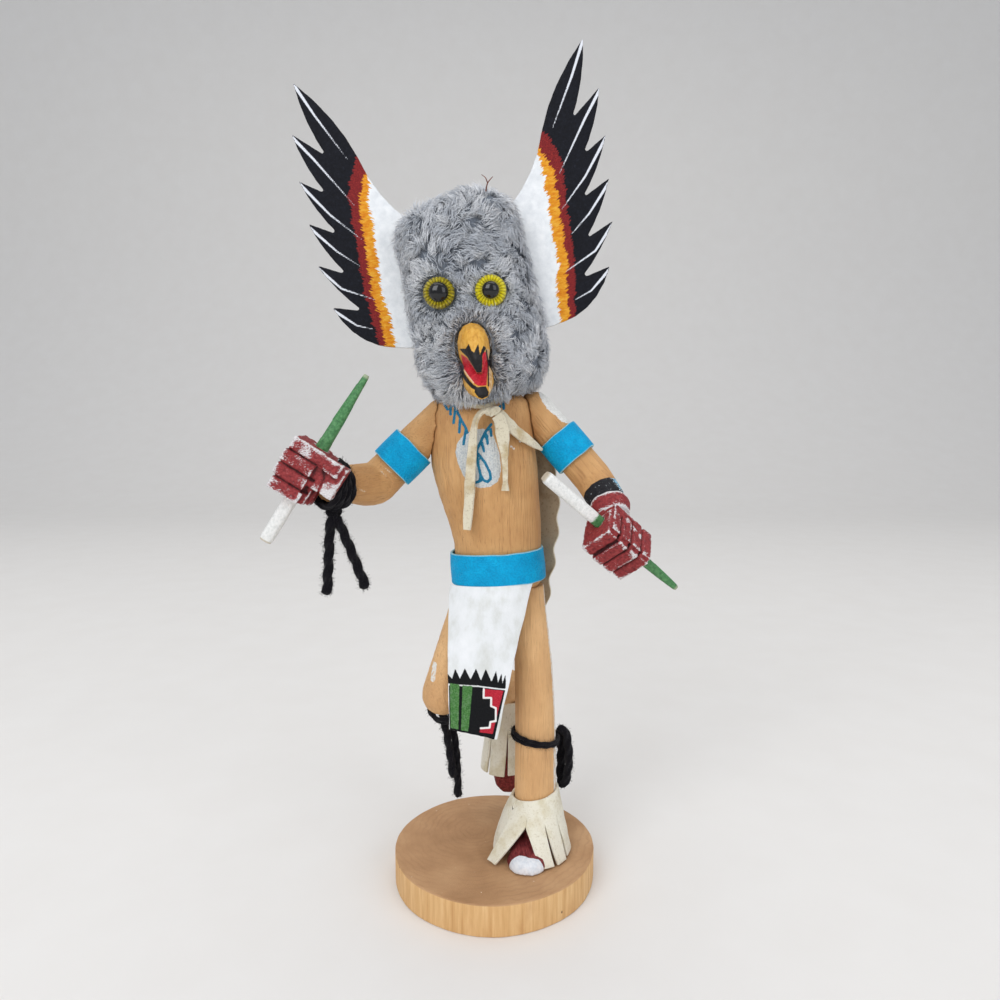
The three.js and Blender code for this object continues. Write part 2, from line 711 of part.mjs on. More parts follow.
const KNOT = point(-0.8, -19.8, 217.0);
const KNOT_RADIUS = 2.9;
const LACE = 3; // height of the suede lace round the neck

/** The lace comes out from under the fur and runs across the chest behind its knot. */
function tieCollar() {
  const steps = 10;
  return strip(Array.from({ length: steps + 1 }, (_, k) => {
    const angle = radians(-146 + 106 * k / steps);
    return point(-3.4 + 21 * Math.cos(angle), 16.6 * Math.sin(angle), 220.6 + 1.4 * Math.sin(angle));
  }), point(0, 0, 1), [LACE, LACE], SUEDE);
}

/** The two ends of the lace that hang on the chest, each from the knot down. */
const TIE_TAILS = {
  tie_tail_right: {
    points: [
      point(-4.6, -19.4, 216.2), point(-7.4, -19.4, 212.6), point(-8.8, -18.6, 204),
      point(-10.2, -18.2, 186), point(-11.4, -18.4, 167.2),
    ],
    widths: [4.2, 4.6],
  },
  tie_tail_left: {
    points: [point(2.6, -20.2, 213.6), point(3.8, -20.0, 207), point(4.7, -19.2, 196), point(4.8, -18.8, 182.6)],
    widths: [5.2, 2.4],
  },
};

const TIE_STRAP = [
  point(3.4, -18.0, 215.6), point(7.5, -17.4, 210.6), point(12.0, -16.0, 206.8),
  point(17.0, -13.2, 203.2), point(20.6, -9.6, 200.4),
];

// ---------------------------------------------------------------- assembly

const clearTrunk = trunk(GAP);
const clearMask = placed(maskForm(GAP), maskFrame);
const clearRightArm = armForm(RIGHT_ARM, GAP);
const clearLeftArm = armForm(LEFT_ARM, GAP);

add('base_disc', 'raw_wood', logSlice());
add('torso', 'tan_paint', cut(trunk(), clearMask));

add('right_arm', 'tan_paint', cut(armForm(RIGHT_ARM), clearTrunk, clearMask));
add('left_arm', 'tan_paint', cut(armForm(LEFT_ARM), clearTrunk, clearMask));
add('right_hand', 'fist_paint', cut(fist(RIGHT_FIST), wand(RIGHT_WAND, GAP), clearRightArm, wristRing(GAP)));
add('left_hand', 'fist_paint', cut(fist(LEFT_FIST), wand(LEFT_WAND, GAP), clearLeftArm));
add('right_wand', 'wand_paint', wand(RIGHT_WAND));
add('left_wand', 'wand_paint', wand(LEFT_WAND));
add('right_armband', 'turquoise_leather', armband(RIGHT_ARM, 0.62));
add('left_armband', 'turquoise_leather', cut(armband(LEFT_ARM, 0.56), clearTrunk));

const aboveHips = block(point(-40, -30, HIP_HEIGHT - GAP), point(20, 30, HIP_HEIGHT + 20));
add('right_leg', 'tan_paint', cut(rightLegForm(), aboveHips));
add('left_leg', 'tan_paint', leftLegForm());

add('head', 'fur', placed(cut(
  maskForm(), wing(1, GAP), wing(-1, GAP), eye(RIGHT_EYE, GAP), eye(LEFT_EYE, GAP), beak(GAP),
), maskFrame));
add('right_eye', 'eye', placed(eye(RIGHT_EYE), maskFrame));
add('left_eye', 'eye', placed(eye(LEFT_EYE), maskFrame));
add('right_wing', 'wing_paint', placed(wing(-1), maskFrame));
add('left_wing', 'wing_paint', placed(wing(1), maskFrame));
add('beak', 'beak_paint', placed(beak(), maskFrame));

add('belt', 'turquoise_leather', belt());
add('front_apron', 'white_leather', frontApron());
add('cape', 'suede', cape());
add('right_cuff', 'suede', cut(cuff(...RIGHT_CUFF), rightLegForm(GAP)));
add('left_cuff', 'suede', cut(cuff(...LEFT_CUFF), leftLegForm(GAP)));

add('tie_collar', 'suede', cut(tieCollar(), clearTrunk, clearMask, clearRightArm, clearLeftArm));
add('tie_knot', 'suede', new THREE.IcosahedronGeometry(KNOT_RADIUS, 1).translate(...KNOT.toArray()));
for (const [name, { points, widths }] of Object.entries(TIE_TAILS)) {
  add(name, 'suede', strip(points, point(1, 0, 0), widths, SUEDE));
}
add('tie_strap', 'suede', cut(strip(TIE_STRAP, point(0, 0, 1), [4.4, 4.4], SUEDE), clearTrunk, clearLeftArm));

add('wrist_wrap', 'yarn', wristRing());
add('wrist_knot', 'yarn', new THREE.IcosahedronGeometry(WRIST_KNOT_RADIUS, 1).translate(...WRIST_KNOT.toArray()));
for (const [name, form, { centre, normal, width }] of [
  ['right_garter', rightLegForm, RIGHT_GARTER],
  ['left_garter', leftLegForm, LEFT_GARTER],
]) {
  add(name, 'yarn', yarnBand(form, centre, normal, width, GARTER_DEPTH));
}
for (const [name, points] of Object.entries(YARN_ENDS)) {
  const thickness = name.startsWith('wrist') ? WRIST_YARN : YARN;
  add(name, 'yarn', strand(points, thickness, name.endsWith('loop') ? 14 : 5));
}

export default doll;
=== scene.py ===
# %% [markdown]
# # An owl-masked dancer, carved, painted and dressed
# This lesson dresses a wooden dancer. The solids of the figure are loaded first and never move.
# Every piece below is fitted to them, in metres, with +Z up and the viewer on the -Y side.
# %% Load the solids
import json
import math
import random
from math import cos, pi, radians, sin

import bpy
import numpy as np
from mathutils import Matrix, Vector, kdtree, noise

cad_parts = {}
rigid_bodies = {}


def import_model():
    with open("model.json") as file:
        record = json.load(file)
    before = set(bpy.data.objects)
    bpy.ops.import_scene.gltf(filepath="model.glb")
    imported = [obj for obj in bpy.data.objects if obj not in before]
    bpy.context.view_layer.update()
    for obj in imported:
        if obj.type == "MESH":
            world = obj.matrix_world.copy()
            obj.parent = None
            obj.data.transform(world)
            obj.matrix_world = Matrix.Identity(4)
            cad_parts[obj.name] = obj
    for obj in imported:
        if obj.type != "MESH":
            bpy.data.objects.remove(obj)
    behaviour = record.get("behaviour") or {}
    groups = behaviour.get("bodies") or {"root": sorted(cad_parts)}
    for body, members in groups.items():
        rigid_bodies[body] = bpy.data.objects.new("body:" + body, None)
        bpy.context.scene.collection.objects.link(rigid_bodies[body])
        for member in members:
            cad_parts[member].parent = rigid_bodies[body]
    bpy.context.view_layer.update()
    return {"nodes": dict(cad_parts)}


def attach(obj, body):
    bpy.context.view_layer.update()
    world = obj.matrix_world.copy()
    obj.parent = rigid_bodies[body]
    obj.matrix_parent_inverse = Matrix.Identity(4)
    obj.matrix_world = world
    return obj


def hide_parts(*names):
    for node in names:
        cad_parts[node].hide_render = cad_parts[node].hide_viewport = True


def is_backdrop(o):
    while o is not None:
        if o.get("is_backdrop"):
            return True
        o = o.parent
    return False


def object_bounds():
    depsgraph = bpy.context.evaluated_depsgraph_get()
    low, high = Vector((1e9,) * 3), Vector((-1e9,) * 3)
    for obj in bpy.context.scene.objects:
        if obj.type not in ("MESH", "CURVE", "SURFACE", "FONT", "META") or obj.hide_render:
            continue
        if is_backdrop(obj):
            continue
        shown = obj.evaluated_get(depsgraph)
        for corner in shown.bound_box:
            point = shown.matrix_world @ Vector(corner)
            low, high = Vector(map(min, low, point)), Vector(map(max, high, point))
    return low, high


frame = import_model()
MM = 0.001

# %% [markdown]
# ## The camera
# A wide lens close to the doll gives the tall wings and the near base their strong perspective.
# The camera stands level with the neck and looks down a little.
# %% Camera
camera_data = bpy.data.cameras.new("camera")
camera_data.lens = 27.36
camera_data.sensor_width = 36
camera_data.clip_start = 0.01
camera = bpy.data.objects.new("camera", camera_data)
camera.location = (0.0026, -0.340, 0.2145)
camera.rotation_euler = (radians(83.8), 0, 0)
bpy.context.scene.collection.objects.link(camera)
bpy.context.scene.camera = camera
bpy.context.scene.view_settings.view_transform = "Standard"
print("lens", camera_data.lens, "at", tuple(camera.location))

# %% [markdown]
# ## Small tools for shaping
# Operators act on whatever is selected, so each tool first selects only its own piece.
# `settle` is the last step for every piece: it applies what is still live, puts the object at
# the origin, and ties the piece to the figure.
# %% Shaping tools


def mm(*values):
    return tuple(value * MM for value in values)


def pick(*pieces):
    if bpy.context.mode != "OBJECT":
        bpy.ops.object.mode_set(mode="OBJECT")
    bpy.ops.object.select_all(action="DESELECT")
    for piece in pieces:
        piece.select_set(True)
    bpy.context.view_layer.objects.active = pieces[0]


def named(name):
    piece = bpy.context.object
    piece.name = piece.data.name = name
    return piece


def apply_all(piece):
    pick(piece)
    for modifier in list(piece.modifiers):
        bpy.ops.object.modifier_apply(modifier=modifier.name)
    bpy.ops.object.transform_apply(location=True, rotation=True, scale=True)


def settle(piece, finishes, stands_for=(), angle=40):
    apply_all(piece)
    if angle:
        bpy.ops.object.shade_smooth_by_angle(angle=radians(angle))
    if not isinstance(finishes, (list, tuple)):
        finishes = [finishes]
    indices = [face.material_index for face in piece.data.polygons] if len(finishes) > 1 else None
    piece.data.materials.clear()
    for finish in finishes:
        piece.data.materials.append(finish.material)
    if indices:
        piece.data.polygons.foreach_set("material_index", indices)
    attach(piece, "root")
    if stands_for:
        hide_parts(*stands_for)
    size = [round(side / MM, 1) for side in piece.dimensions]
    print(f"{piece.name}: {len(piece.data.polygons)} faces, {size} mm")
    return piece


def points_of(piece):
    """The corners of a piece, in millimetres, and their normals."""
    count = len(piece.data.vertices)
    where = np.empty(count * 3)
    piece.data.vertices.foreach_get("co", where)
    facing = np.empty(count * 3)
    piece.data.vertices.foreach_get("normal", facing)
    return where.reshape(-1, 3) / MM, facing.reshape(-1, 3)


def set_points(piece, where):
    piece.data.vertices.foreach_set("co", (np.asarray(where) * MM).ravel())
    piece.data.update()


def roughen(piece, height):
    """Pushes every corner out by height(corner), in millimetres."""
    where, facing = points_of(piece)
    rise = np.array([height(Vector(spot)) for spot in where])
    set_points(piece, where + facing * rise[:, None])


def from_solid(node, name, grain, rounds):
    """A dense, softened copy of a solid, as a carver's sandpaper would leave it."""
    piece = bpy.data.objects.new(name, frame["nodes"][node].data.copy())
    bpy.context.scene.collection.objects.link(piece)
    pick(piece)
    bpy.ops.object.mode_set(mode="EDIT")
    bpy.ops.mesh.select_all(action="SELECT")
    bpy.ops.mesh.remove_doubles(threshold=1e-6)
    bpy.ops.object.mode_set(mode="OBJECT")
    remesh = piece.modifiers.new("even faces", "REMESH")
    remesh.mode = "VOXEL"
    remesh.voxel_size = grain * MM
    if rounds:
        smooth = piece.modifiers.new("sandpaper", "SMOOTH")
        smooth.factor = 0.5
        smooth.iterations = rounds
    apply_all(piece)
    return piece


# %% [markdown]
# ## Small tools for painted marks
# A painted mark has a crisp edge but a brushed outline. Each one is stored on the mesh as a
# distance, in millimetres, and the material turns the distance into an edge with some noise on
# it. Distances stay smooth between corners, so the edge stays sharp on a coarse mesh.
# %% Marks as distances


def add_field(piece, name, values):
    field = piece.data.attributes.new(name, "FLOAT", "POINT")
    field.data.foreach_set("value", np.asarray(values, dtype=np.float32))


def to_line(spots, line):
    """How far each spot is from a bent line."""
    best = np.full(len(spots), 1e3)
    for start, end in zip(line, line[1:]):
        start, end = np.array(start, float), np.array(end, float)
        along = end - start
        part = np.clip((spots - start) @ along / max(along @ along, 1e-9), 0, 1)
        best = np.minimum(best, np.linalg.norm(spots - start - part[:, None] * along, axis=1))
    return best


def inside(spots, outline):
    """Signed distance to a closed outline, positive inside it."""
    closed = list(outline) + [outline[0]]
    away = to_line(spots, closed)
    within = np.zeros(len(spots), bool)
    x, y = spots[:, 0], spots[:, 1]
    for (x0, y0), (x1, y1) in zip(closed, closed[1:]):
        crosses = (y0 > y) != (y1 > y)
        within ^= crosses & (x < (x1 - x0) * (y - y0) / (y1 - y0 + 1e-12) + x0)
    return np.where(within, away, -away)


# %% [markdown]
# ## Small tools for finishes
# A finish is one material with a few shorthands for the nodes it is mixed from. Patterns read
# object coordinates in millimetres, so a scale of 1 makes marks about a millimetre across.
# %% Finish tools


def tint(red, green, blue):
    """A colour as a painter's chart gives it, 0 to 255, made linear for the shader."""
    linear = [((c / 255 + 0.055) / 1.055) ** 2.4 if c > 10 else c / 255 / 12.92 for c in (red, green, blue)]
    return (*linear, 1)


class Finish:
    def __init__(self, name, roughness=0.6, **plain):
        self.material = bpy.data.materials.new(name)
        self.material.use_nodes = True
        self.tree = self.material.node_tree
        self.shader = self.tree.nodes["Principled BSDF"]
        self.shader.inputs["Roughness"].default_value = roughness
        for key, value in plain.items():
            self.shader.inputs[key.replace("_", " ")].default_value = value

    def node(self, kind, inputs=(), out=0, **settings):
        made = self.tree.nodes.new("ShaderNode" + kind)
        for key, value in settings.items():
            setattr(made, key, value)
        for key, value in dict(inputs).items():
            if isinstance(value, bpy.types.NodeSocket):
                self.tree.links.new(value, made.inputs[key])
            else:
                made.inputs[key].default_value = value
        return made.outputs[out]

    def place(self, origin=(0, 0, 0), turn=(0, 0, 0), stretch=(1, 1, 1)):
        """Object coordinates in millimetres, seen from a turned frame."""
        here = self.node("TexCoord", out="Object")
        return self.node("Mapping", {
            "Vector": here, "Location": mm(*origin), "Rotation": [radians(angle) for angle in turn],
            "Scale": [MM * s for s in stretch]}, vector_type="TEXTURE")

    def noise(self, where, scale, detail=3.0, rough=0.55, out="Fac"):
        return self.node("TexNoise", {"Vector": where, "Scale": scale, "Detail": detail, "Roughness": rough}, out=out)

    def math(self, operation, a, b=0.0, c=0.0):
        return self.node("Math", {0: a, 1: b, 2: c}, operation=operation)

    def over(self, value, low, high):
        """0 below low, 1 above high, and straight between."""
        return self.node("MapRange", {"Value": value, "From Min": low, "From Max": high}, clamp=True)

    def blend(self, factor, first, second):
        return self.node("Mix", {0: factor, 6: first, 7: second}, out=2, data_type="RGBA")

    def steps(self, value, *stops, kind="LINEAR"):
        ramp = self.tree.nodes.new("ShaderNodeValToRGB")
        ramp.color_ramp.interpolation = kind
        elements = ramp.color_ramp.elements
        while len(elements) < len(stops):
            elements.new(0.5)
        for element, (position, colour) in zip(elements, stops):
            element.position = position
            element.color = colour
        self.tree.links.new(value, ramp.inputs[0])
        return ramp.outputs[0]

    def field(self, name):
        return self.node("Attribute", out="Fac", attribute_name=name)

    def mark(self, name, where, wobble=0.4, scale=1.2, edge=0.12):
        """1 where a painted mark lies, with a brushed outline."""
        shake = self.math("MULTIPLY_ADD", self.noise(where, scale, 2), 2 * wobble, -wobble)
        return self.over(self.math("ADD", self.field(name), shake), -edge, edge)

    def colour(self, socket):
        self.tree.links.new(socket, self.shader.inputs["Base Color"])
        return self

    def gloss(self, socket):
        self.tree.links.new(socket, self.shader.inputs["Roughness"])
        return self

    def bump(self, height, depth, strength=0.6):
        """Fine relief: height runs from 0 to 1, and depth is in millimetres."""
        normal = self.node("Bump", {"Height": height, "Distance": depth * MM, "Strength": strength})
        self.tree.links.new(normal, self.shader.inputs["Normal"])
        return self


print("tint check", [round(v, 3) for v in tint(190, 140, 85)])

# %% [markdown]
# ## Floor and light
# The doll stands on a plain pale floor that curves up behind it, as in a photographer's studio.
# A sheet edge is extruded upwards and its fold is bevelled, so no horizon line shows.
# Big soft lamps in front and above give the flat daylight of a room with large windows.
# %% Studio
bpy.ops.mesh.primitive_plane_add(size=1, location=(0, 0, 0))
floor = named("floor")
floor.scale = (7, 4.6, 1)
pick(floor)
bpy.ops.object.transform_apply(location=True, rotation=True, scale=True)
bpy.ops.object.mode_set(mode="EDIT")
bpy.ops.mesh.select_all(action="DESELECT")
bpy.ops.object.mode_set(mode="OBJECT")
for edge in floor.data.edges:
    edge.select = all(floor.data.vertices[i].co.y > 2 for i in edge.vertices)
bpy.ops.object.mode_set(mode="EDIT")
bpy.ops.mesh.extrude_region_move(TRANSFORM_OT_translate={"value": (0, 0, 3)})
bpy.ops.mesh.select_all(action="SELECT")
bpy.ops.mesh.normals_make_consistent(inside=False)
bpy.ops.object.mode_set(mode="OBJECT")
curve_up = floor.modifiers.new("curve up", "BEVEL")
curve_up.width, curve_up.segments = 1.0, 12
apply_all(floor)
bpy.ops.object.shade_smooth()
paper = Finish("studio paper", 0.85)
paper_place = paper.place(stretch=(40, 40, 40))
paper.colour(paper.blend(paper.noise(paper_place, 1), tint(226, 224, 220), tint(231, 230, 227)))
floor.data.materials.append(paper.material)
floor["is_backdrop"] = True

world = bpy.data.worlds.new("room light")
bpy.context.scene.world = world
world.use_nodes = True
world.node_tree.nodes["Background"].inputs["Color"].default_value = tint(240, 243, 250)
world.node_tree.nodes["Background"].inputs["Strength"].default_value = 0.55


def lamp(name, where, target, size, power, colour):
    data = bpy.data.lights.new(name, "AREA")
    data.shape, data.size, data.energy, data.color = "SQUARE", size, power, colour[:3]
    piece = bpy.data.objects.new(name, data)
    bpy.context.scene.collection.objects.link(piece)
    piece.location = where
    piece.rotation_euler = (Vector(target) - Vector(where)).to_track_quat("-Z", "Y").to_euler()


lamp("window", (-0.9, -1.5, 1.3), (0, 0, 0.18), 1.3, 20, tint(250, 251, 255))
lamp("second window", (1.2, -1.3, 0.9), (0, 0, 0.18), 1.3, 9, tint(250, 250, 255))
lamp("ceiling", (0, 0.2, 1.9), (0, 0, 0.1), 1.8, 13, tint(255, 250, 244))

# %% [markdown]
# ## Smooth paths and swept skins
# Yarn ends, laces and knots all follow a line through a few known points. A smooth line through
# them is cut into equal steps, and a ring of corners is set square to it at each step.
# The rings are joined by quads and each end is closed with a fan, so the skin is watertight.
# %% Paths and sweeps


def path_through(points, count):
    """Equal steps along a smooth line through the points."""
    spots = [np.array(p, float) for p in points]
    spots = [2 * spots[0] - spots[1]] + spots + [2 * spots[-1] - spots[-2]]
    fine = []
    for a, b, c, d in zip(spots, spots[1:], spots[2:], spots[3:]):
        for t in np.linspace(0, 1, 24, endpoint=False):
            fine.append(0.5 * (2 * b + (c - a) * t + (2 * a - 5 * b + 4 * c - d) * t * t
                               + (3 * b - a - 3 * c + d) * t ** 3))
    fine = np.array(fine + [spots[-2]])
    run = np.r_[0, np.cumsum(np.linalg.norm(np.diff(fine, axis=0), axis=1))]
    even = np.linspace(0, run[-1], count)
    return np.stack([np.interp(even, run, fine[:, axis]) for axis in range(3)], axis=1)


def length_of(path):
    return float(np.linalg.norm(np.diff(path, axis=0), axis=1).sum())


def skin(name, rings, closed=False):
    """A skin over rings of corners, each a list of the same length, in millimetres."""
    sides, corners = len(rings[0]), [tuple(np.array(p) * MM) for ring in rings for p in ring]
    faces = []
    pairs = list(zip(range(len(rings)), range(1, len(rings)))) + ([(len(rings) - 1, 0)] if closed else [])
    for low, high in pairs:
        for k in range(sides):
            nxt = (k + 1) % sides
            faces.append((low * sides + k, low * sides + nxt, high * sides + nxt, high * sides + k))
    if not closed:
        for ring, flip in ((0, True), (len(rings) - 1, False)):
            corners.append(tuple(np.mean([corners[ring * sides + k] for k in range(sides)], axis=0)))
            for k in range(sides):
                a, b = ring * sides + k, ring * sides + (k + 1) % sides
                faces.append((b, a, len(corners) - 1) if flip else (a, b, len(corners) - 1))
    mesh = bpy.data.meshes.new(name)
    mesh.from_pydata(corners, [], faces)
    piece = bpy.data.objects.new(name, mesh)
    bpy.context.scene.collection.objects.link(piece)
    pick(piece)
    bpy.ops.object.mode_set(mode="EDIT")
    bpy.ops.mesh.select_all(action="SELECT")
    bpy.ops.mesh.normals_make_consistent(inside=False)
    bpy.ops.object.mode_set(mode="OBJECT")
    return piece


def frames_along(path, across=None):
    """Two directions square to the path at each step, without a sudden twist."""
    travel = np.gradient(path, axis=0)
    travel /= np.linalg.norm(travel, axis=1)[:, None]
    side = np.array(across if across is not None else (0.3, 0.9, 0.1), float)
    out = []
    for way in travel:
        side = side - way * (side @ way)
        side = side / np.linalg.norm(side)
        out.append((side.copy(), np.cross(way, side)))
    return out


# %% [markdown]
# ## The yarn's finish
# Black wool is several strands twisted together. The strands themselves are modelled, and the
# finish only has to add the fine fibres that run along them and the soft sheen of wool.
# %% Yarn finish
yarn_finish = Finish("black wool", 0.95)
yarn_finish.shader.inputs["Sheen Weight"].default_value = 0.08
yarn_finish.shader.inputs["Sheen Roughness"].default_value = 0.6
yarn_finish.shader.inputs["Specular IOR Level"].default_value = 0.08
at = yarn_finish.place()
fibres = yarn_finish.noise(at, 3.2, 5, 0.7)
yarn_finish.colour(yarn_finish.steps(fibres, (0.3, tint(6, 5, 8)), (0.55, tint(14, 12, 18)), (0.75, tint(36, 33, 44))))
yarn_finish.bump(yarn_finish.noise(at, 5.5, 3, 0.6), 0.35)
print("yarn colour stops are near black")

# %% [markdown]
# ## Loose ends of black yarn
# A wool yarn is three strands laid round each other. Each end is one skin whose section has
# three lobes, and the lobes turn as the section moves along the path. That gives the rope-like
# twist in real geometry, in one closed piece, which a plain bevelled curve could not.
# %% Yarn ends
YARN_ROUTES = {
    # From where each end leaves its knot or garter to its tip, in millimetres.
    "wrist_end_a": [(-66.2, -29.0, 174.6), (-67.4, -30.4, 168.6), (-67.7, -31.0, 162), (-68.3, -31.4, 152),
                    (-69.0, -31.6, 141.6)],
    "wrist_end_b": [(-65.6, -28.8, 174.4), (-62.8, -29.8, 169.2), (-59.6, -31.0, 162), (-56.0, -31.6, 153),
                    (-52.7, -31.6, 144.2)],
    "right_garter_end_a": [(-24.2, 0.8, 80), (-23.6, 1.0, 75), (-22.0, 1.4, 66), (-20.6, 1.6, 56), (-19.4, 1.6, 46.3)],
    "right_garter_end_b": [(-20.8, 3.4, 79), (-20.2, 4.0, 74), (-18.8, 4.6, 63), (-17.8, 5.0, 50), (-17.4, 5.0, 34.8)],
    "left_garter_loop": [(29.8, 3.6, 68.2), (31.8, 4.5, 68.8), (34.2, 5.6, 64), (35.3, 6.2, 53), (34.2, 6.8, 43),
                         (32.0, 8.2, 39.8), (31.6, 9.6, 46), (31.9, 9.9, 55), (30.8, 10.0, 66)],
}
YARN_WIDTH = {"wrist_end_a": 4.4, "wrist_end_b": 4.4, "left_garter_loop": 4.4, "right_garter_end_a": 4.0, "right_garter_end_b": 4.0}


def yarn_skin(name, path, width, pitch=7.0, lobes=3, closed=False, sides=18):
    rings = []
    walked = np.r_[0, np.cumsum(np.linalg.norm(np.diff(path, axis=0), axis=1))]
    total = walked[-1]
    if closed:
        pitch = total / max(1, round(total / pitch))
    spin = random.Random(name).uniform(0, 6)
    for spot, (side, up), run in zip(path, frames_along(path), walked):
        ring = []
        swell = 1 + 0.07 * noise.noise(Vector((run * 0.22, spin, 3.1)))
        ends = 1 if closed else min(1, 0.5 + 2 * (total - run) / width, 0.6 + run / width)
        if not closed:
            ends *= 1 + 0.16 * max(0, 1 - (total - run) / 5)
        for k in range(sides):
            angle = 2 * pi * k / sides
            twist = angle * lobes - 2 * pi * run / pitch * lobes / 3 - spin
            radius = width / 2 * (0.84 + 0.16 * cos(twist)) * swell * ends
            radius *= 1 + 0.05 * noise.noise(Vector((cos(angle) * 2, sin(angle) * 2, run * 0.9 + spin)))
            ring.append(spot + side * radius * cos(angle) + up * radius * sin(angle))
        rings.append(ring)
    return skin(name, rings[:-1] if closed else rings, closed)


yarn_paths = {}
for name, route in YARN_ROUTES.items():
    width = YARN_WIDTH.get(name, 3.7)
    path = path_through(route, 90)
    yarn_paths[name] = (path, width)
    strand = yarn_skin("yarn_" + name, path, width)
    settle(strand, yarn_finish, [name])
    print(f"{name}: {length_of(path):.1f} mm long")

# %% [markdown]
# ## Suede for the laces
# Suede is the soft, napped side of the hide. Its colour drifts from cream to a warm tan, with
# small dark pores, and it never shines. The cut edges show the paler inside of the skin.
# %% Suede finish


def suede(name, light, warm, dark, scale=1.0):
    made = Finish(name, 0.95)
    made.shader.inputs["Sheen Weight"].default_value = 0.25
    made.shader.inputs["Specular IOR Level"].default_value = 0.2
    here = made.place(stretch=(scale, scale, scale))
    drift = made.noise(here, 0.12, 4, 0.6)
    nap = made.noise(here, 1.1, 5, 0.75)
    base = made.steps(drift, (0.32, warm), (0.52, light))
    pores = made.over(nap, 0.46, 0.3)
    made.colour(made.blend(made.math("MULTIPLY", pores, 0.75), base, dark))
    made.bump(made.noise(here, 2.6, 4, 0.7), 0.35, 0.55)
    return made


lace_finish = suede("cream suede lace", tint(220, 212, 188), tint(192, 174, 136), tint(150, 128, 92))
cuff_finish = suede("cream suede cuffs", tint(230, 226, 208), tint(212, 203, 174), tint(184, 172, 142))
print("two suedes made")

# %% [markdown]
# ## The lace's two hanging ends
# Each end is a strip cut from soft hide. It hangs flat, twists a little and wavers along its cut
# edges. A flat section is swept along the path, and its corners are rounded as a knife leaves them.
# %% Lace tails


def lace_skin(name, path, widths, thickness, turns, waver=0.25, across=(1, 0, 0)):
    """A flat lace. widths and turns (degrees) are spread along it from its start to its end."""
    rings = []
    share = np.linspace(0, 1, len(path))
    seed = random.Random(name).uniform(0, 9)
    for (spot, (side, up)), s in zip(zip(path, frames_along(path, across)), share):
        turn = radians(np.interp(s, np.linspace(0, 1, len(turns)), turns))
        wide = np.interp(s, np.linspace(0, 1, len(widths)), widths) / 2
        a, b = side * cos(turn) + up * sin(turn), up * cos(turn) - side * sin(turn)
        left = wide + waver * noise.noise(Vector((s * 9, seed, 0)))
        right = wide + waver * noise.noise(Vector((s * 9, seed, 5)))
        curl = 0.35 * noise.noise(Vector((s * 4, seed, 9)))
        half = thickness / 2
        ring = []
        for u, v in ((-1, -0.55), (-1, 0.55), (-0.9, 1), (-0.45, 1), (0, 1), (0.45, 1), (0.9, 1),
                     (1, 0.55), (1, -0.55), (0.9, -1), (0.45, -1), (0, -1), (-0.45, -1), (-0.9, -1)):
            reach = u * (left if u < 0 else right)
            ring.append(spot + a * reach + b * (v * half + curl * u * u * wide * 0.5))
        rings.append(ring)
    return skin(name, rings)


TAILS = {
    "tie_tail_right": ([(-3.4, -20.2, 217.4), (-5.6, -20.4, 216.2), (-7.6, -20.0, 212.6), (-8.8, -19.0, 204),
                        (-10.2, -18.4, 186), (-11.4, -18.5, 166.8)],
                       [2.8, 3.4, 4.0, 4.0, 4.4, 4.8, 4.6, 3.4], [50, 40, 12, -12, -18, 6, 10, 0], 1.3),
    "tie_tail_left": ([(1.2, -20.8, 215.4), (2.8, -20.8, 212.8), (3.9, -20.3, 206), (4.7, -19.4, 196), (4.9, -18.9, 183.6)],
                      [4.6, 5.6, 6.0, 5.4, 4.2, 2.9, 2.3, 2.2, 2.2, 3.6], [10, -15, 12, 24, 16, -8, 0, 5, 20], 1.4),
}
for name, (route, widths, turns, thickness) in TAILS.items():
    path = path_through(route, 80)
    tail = lace_skin("lace_" + name[4:], path, widths, thickness, turns)
    settle(tail, lace_finish, [name])
    print(f"{name}: {length_of(path):.1f} mm long, {np.mean(widths):.1f} wide")

# %% [markdown]
# ## The slice of a log
# The stand is sawn from a small trunk, peeled and sanded. A disc is the nearest primitive. Its rim
# is pushed in and out to match the slow swellings of a trunk, and its two edges are bevelled.
# Rings on the sawn face grow from an off-centre pith, so they are drawn from that point.
# %% Log slice
RADIUS, HEIGHT = 46.6, 14.5
bpy.ops.mesh.primitive_cylinder_add(vertices=160, radius=RADIUS * MM, depth=HEIGHT * MM,
                                    location=mm(0, 0, HEIGHT / 2))
disc = named("log_slice")
pick(disc)
bpy.ops.object.transform_apply(location=True)
for vertex in disc.data.vertices:
    angle = math.atan2(vertex.co.y, vertex.co.x)
    swelling = 0.35 * sin(2 * angle + 0.6) + 0.25 * sin(3 * angle) + 0.15 * sin(7 * angle)
    swelling += 0.12 * noise.noise(Vector((cos(angle) * 9, sin(angle) * 9, 0)))
    factor = (RADIUS - 0.12 + swelling) / RADIUS
    vertex.co.x *= factor
    vertex.co.y *= factor
soft_edge = disc.modifiers.new("sanded edges", "BEVEL")
soft_edge.width, soft_edge.segments, soft_edge.limit_method = 0.8 * MM, 4, "ANGLE"
apply_all(disc)
bpy.ops.object.mode_set(mode="EDIT")
bpy.ops.mesh.select_all(action="DESELECT")
bpy.ops.object.mode_set(mode="OBJECT")
for face in disc.data.polygons:
    face.select = abs(face.normal.z) > 0.9 and len(face.vertices) > 20
bpy.ops.object.mode_set(mode="EDIT")
for share in (0.9, 0.84, 0.75, 0.64, 0.5, 0.4):
    bpy.ops.mesh.extrude_region_move(TRANSFORM_OT_translate={"value": (0, 0, 0)})
    bpy.ops.transform.resize(value=(share, share, 1), center_override=(0, 0, 0))
bpy.ops.mesh.poke()
bpy.ops.object.mode_set(mode="OBJECT")
where, facing = points_of(disc)
lift = np.array([0.12 * noise.noise(Vector((x * 0.06, y * 0.06, z))) for x, y, z in where])
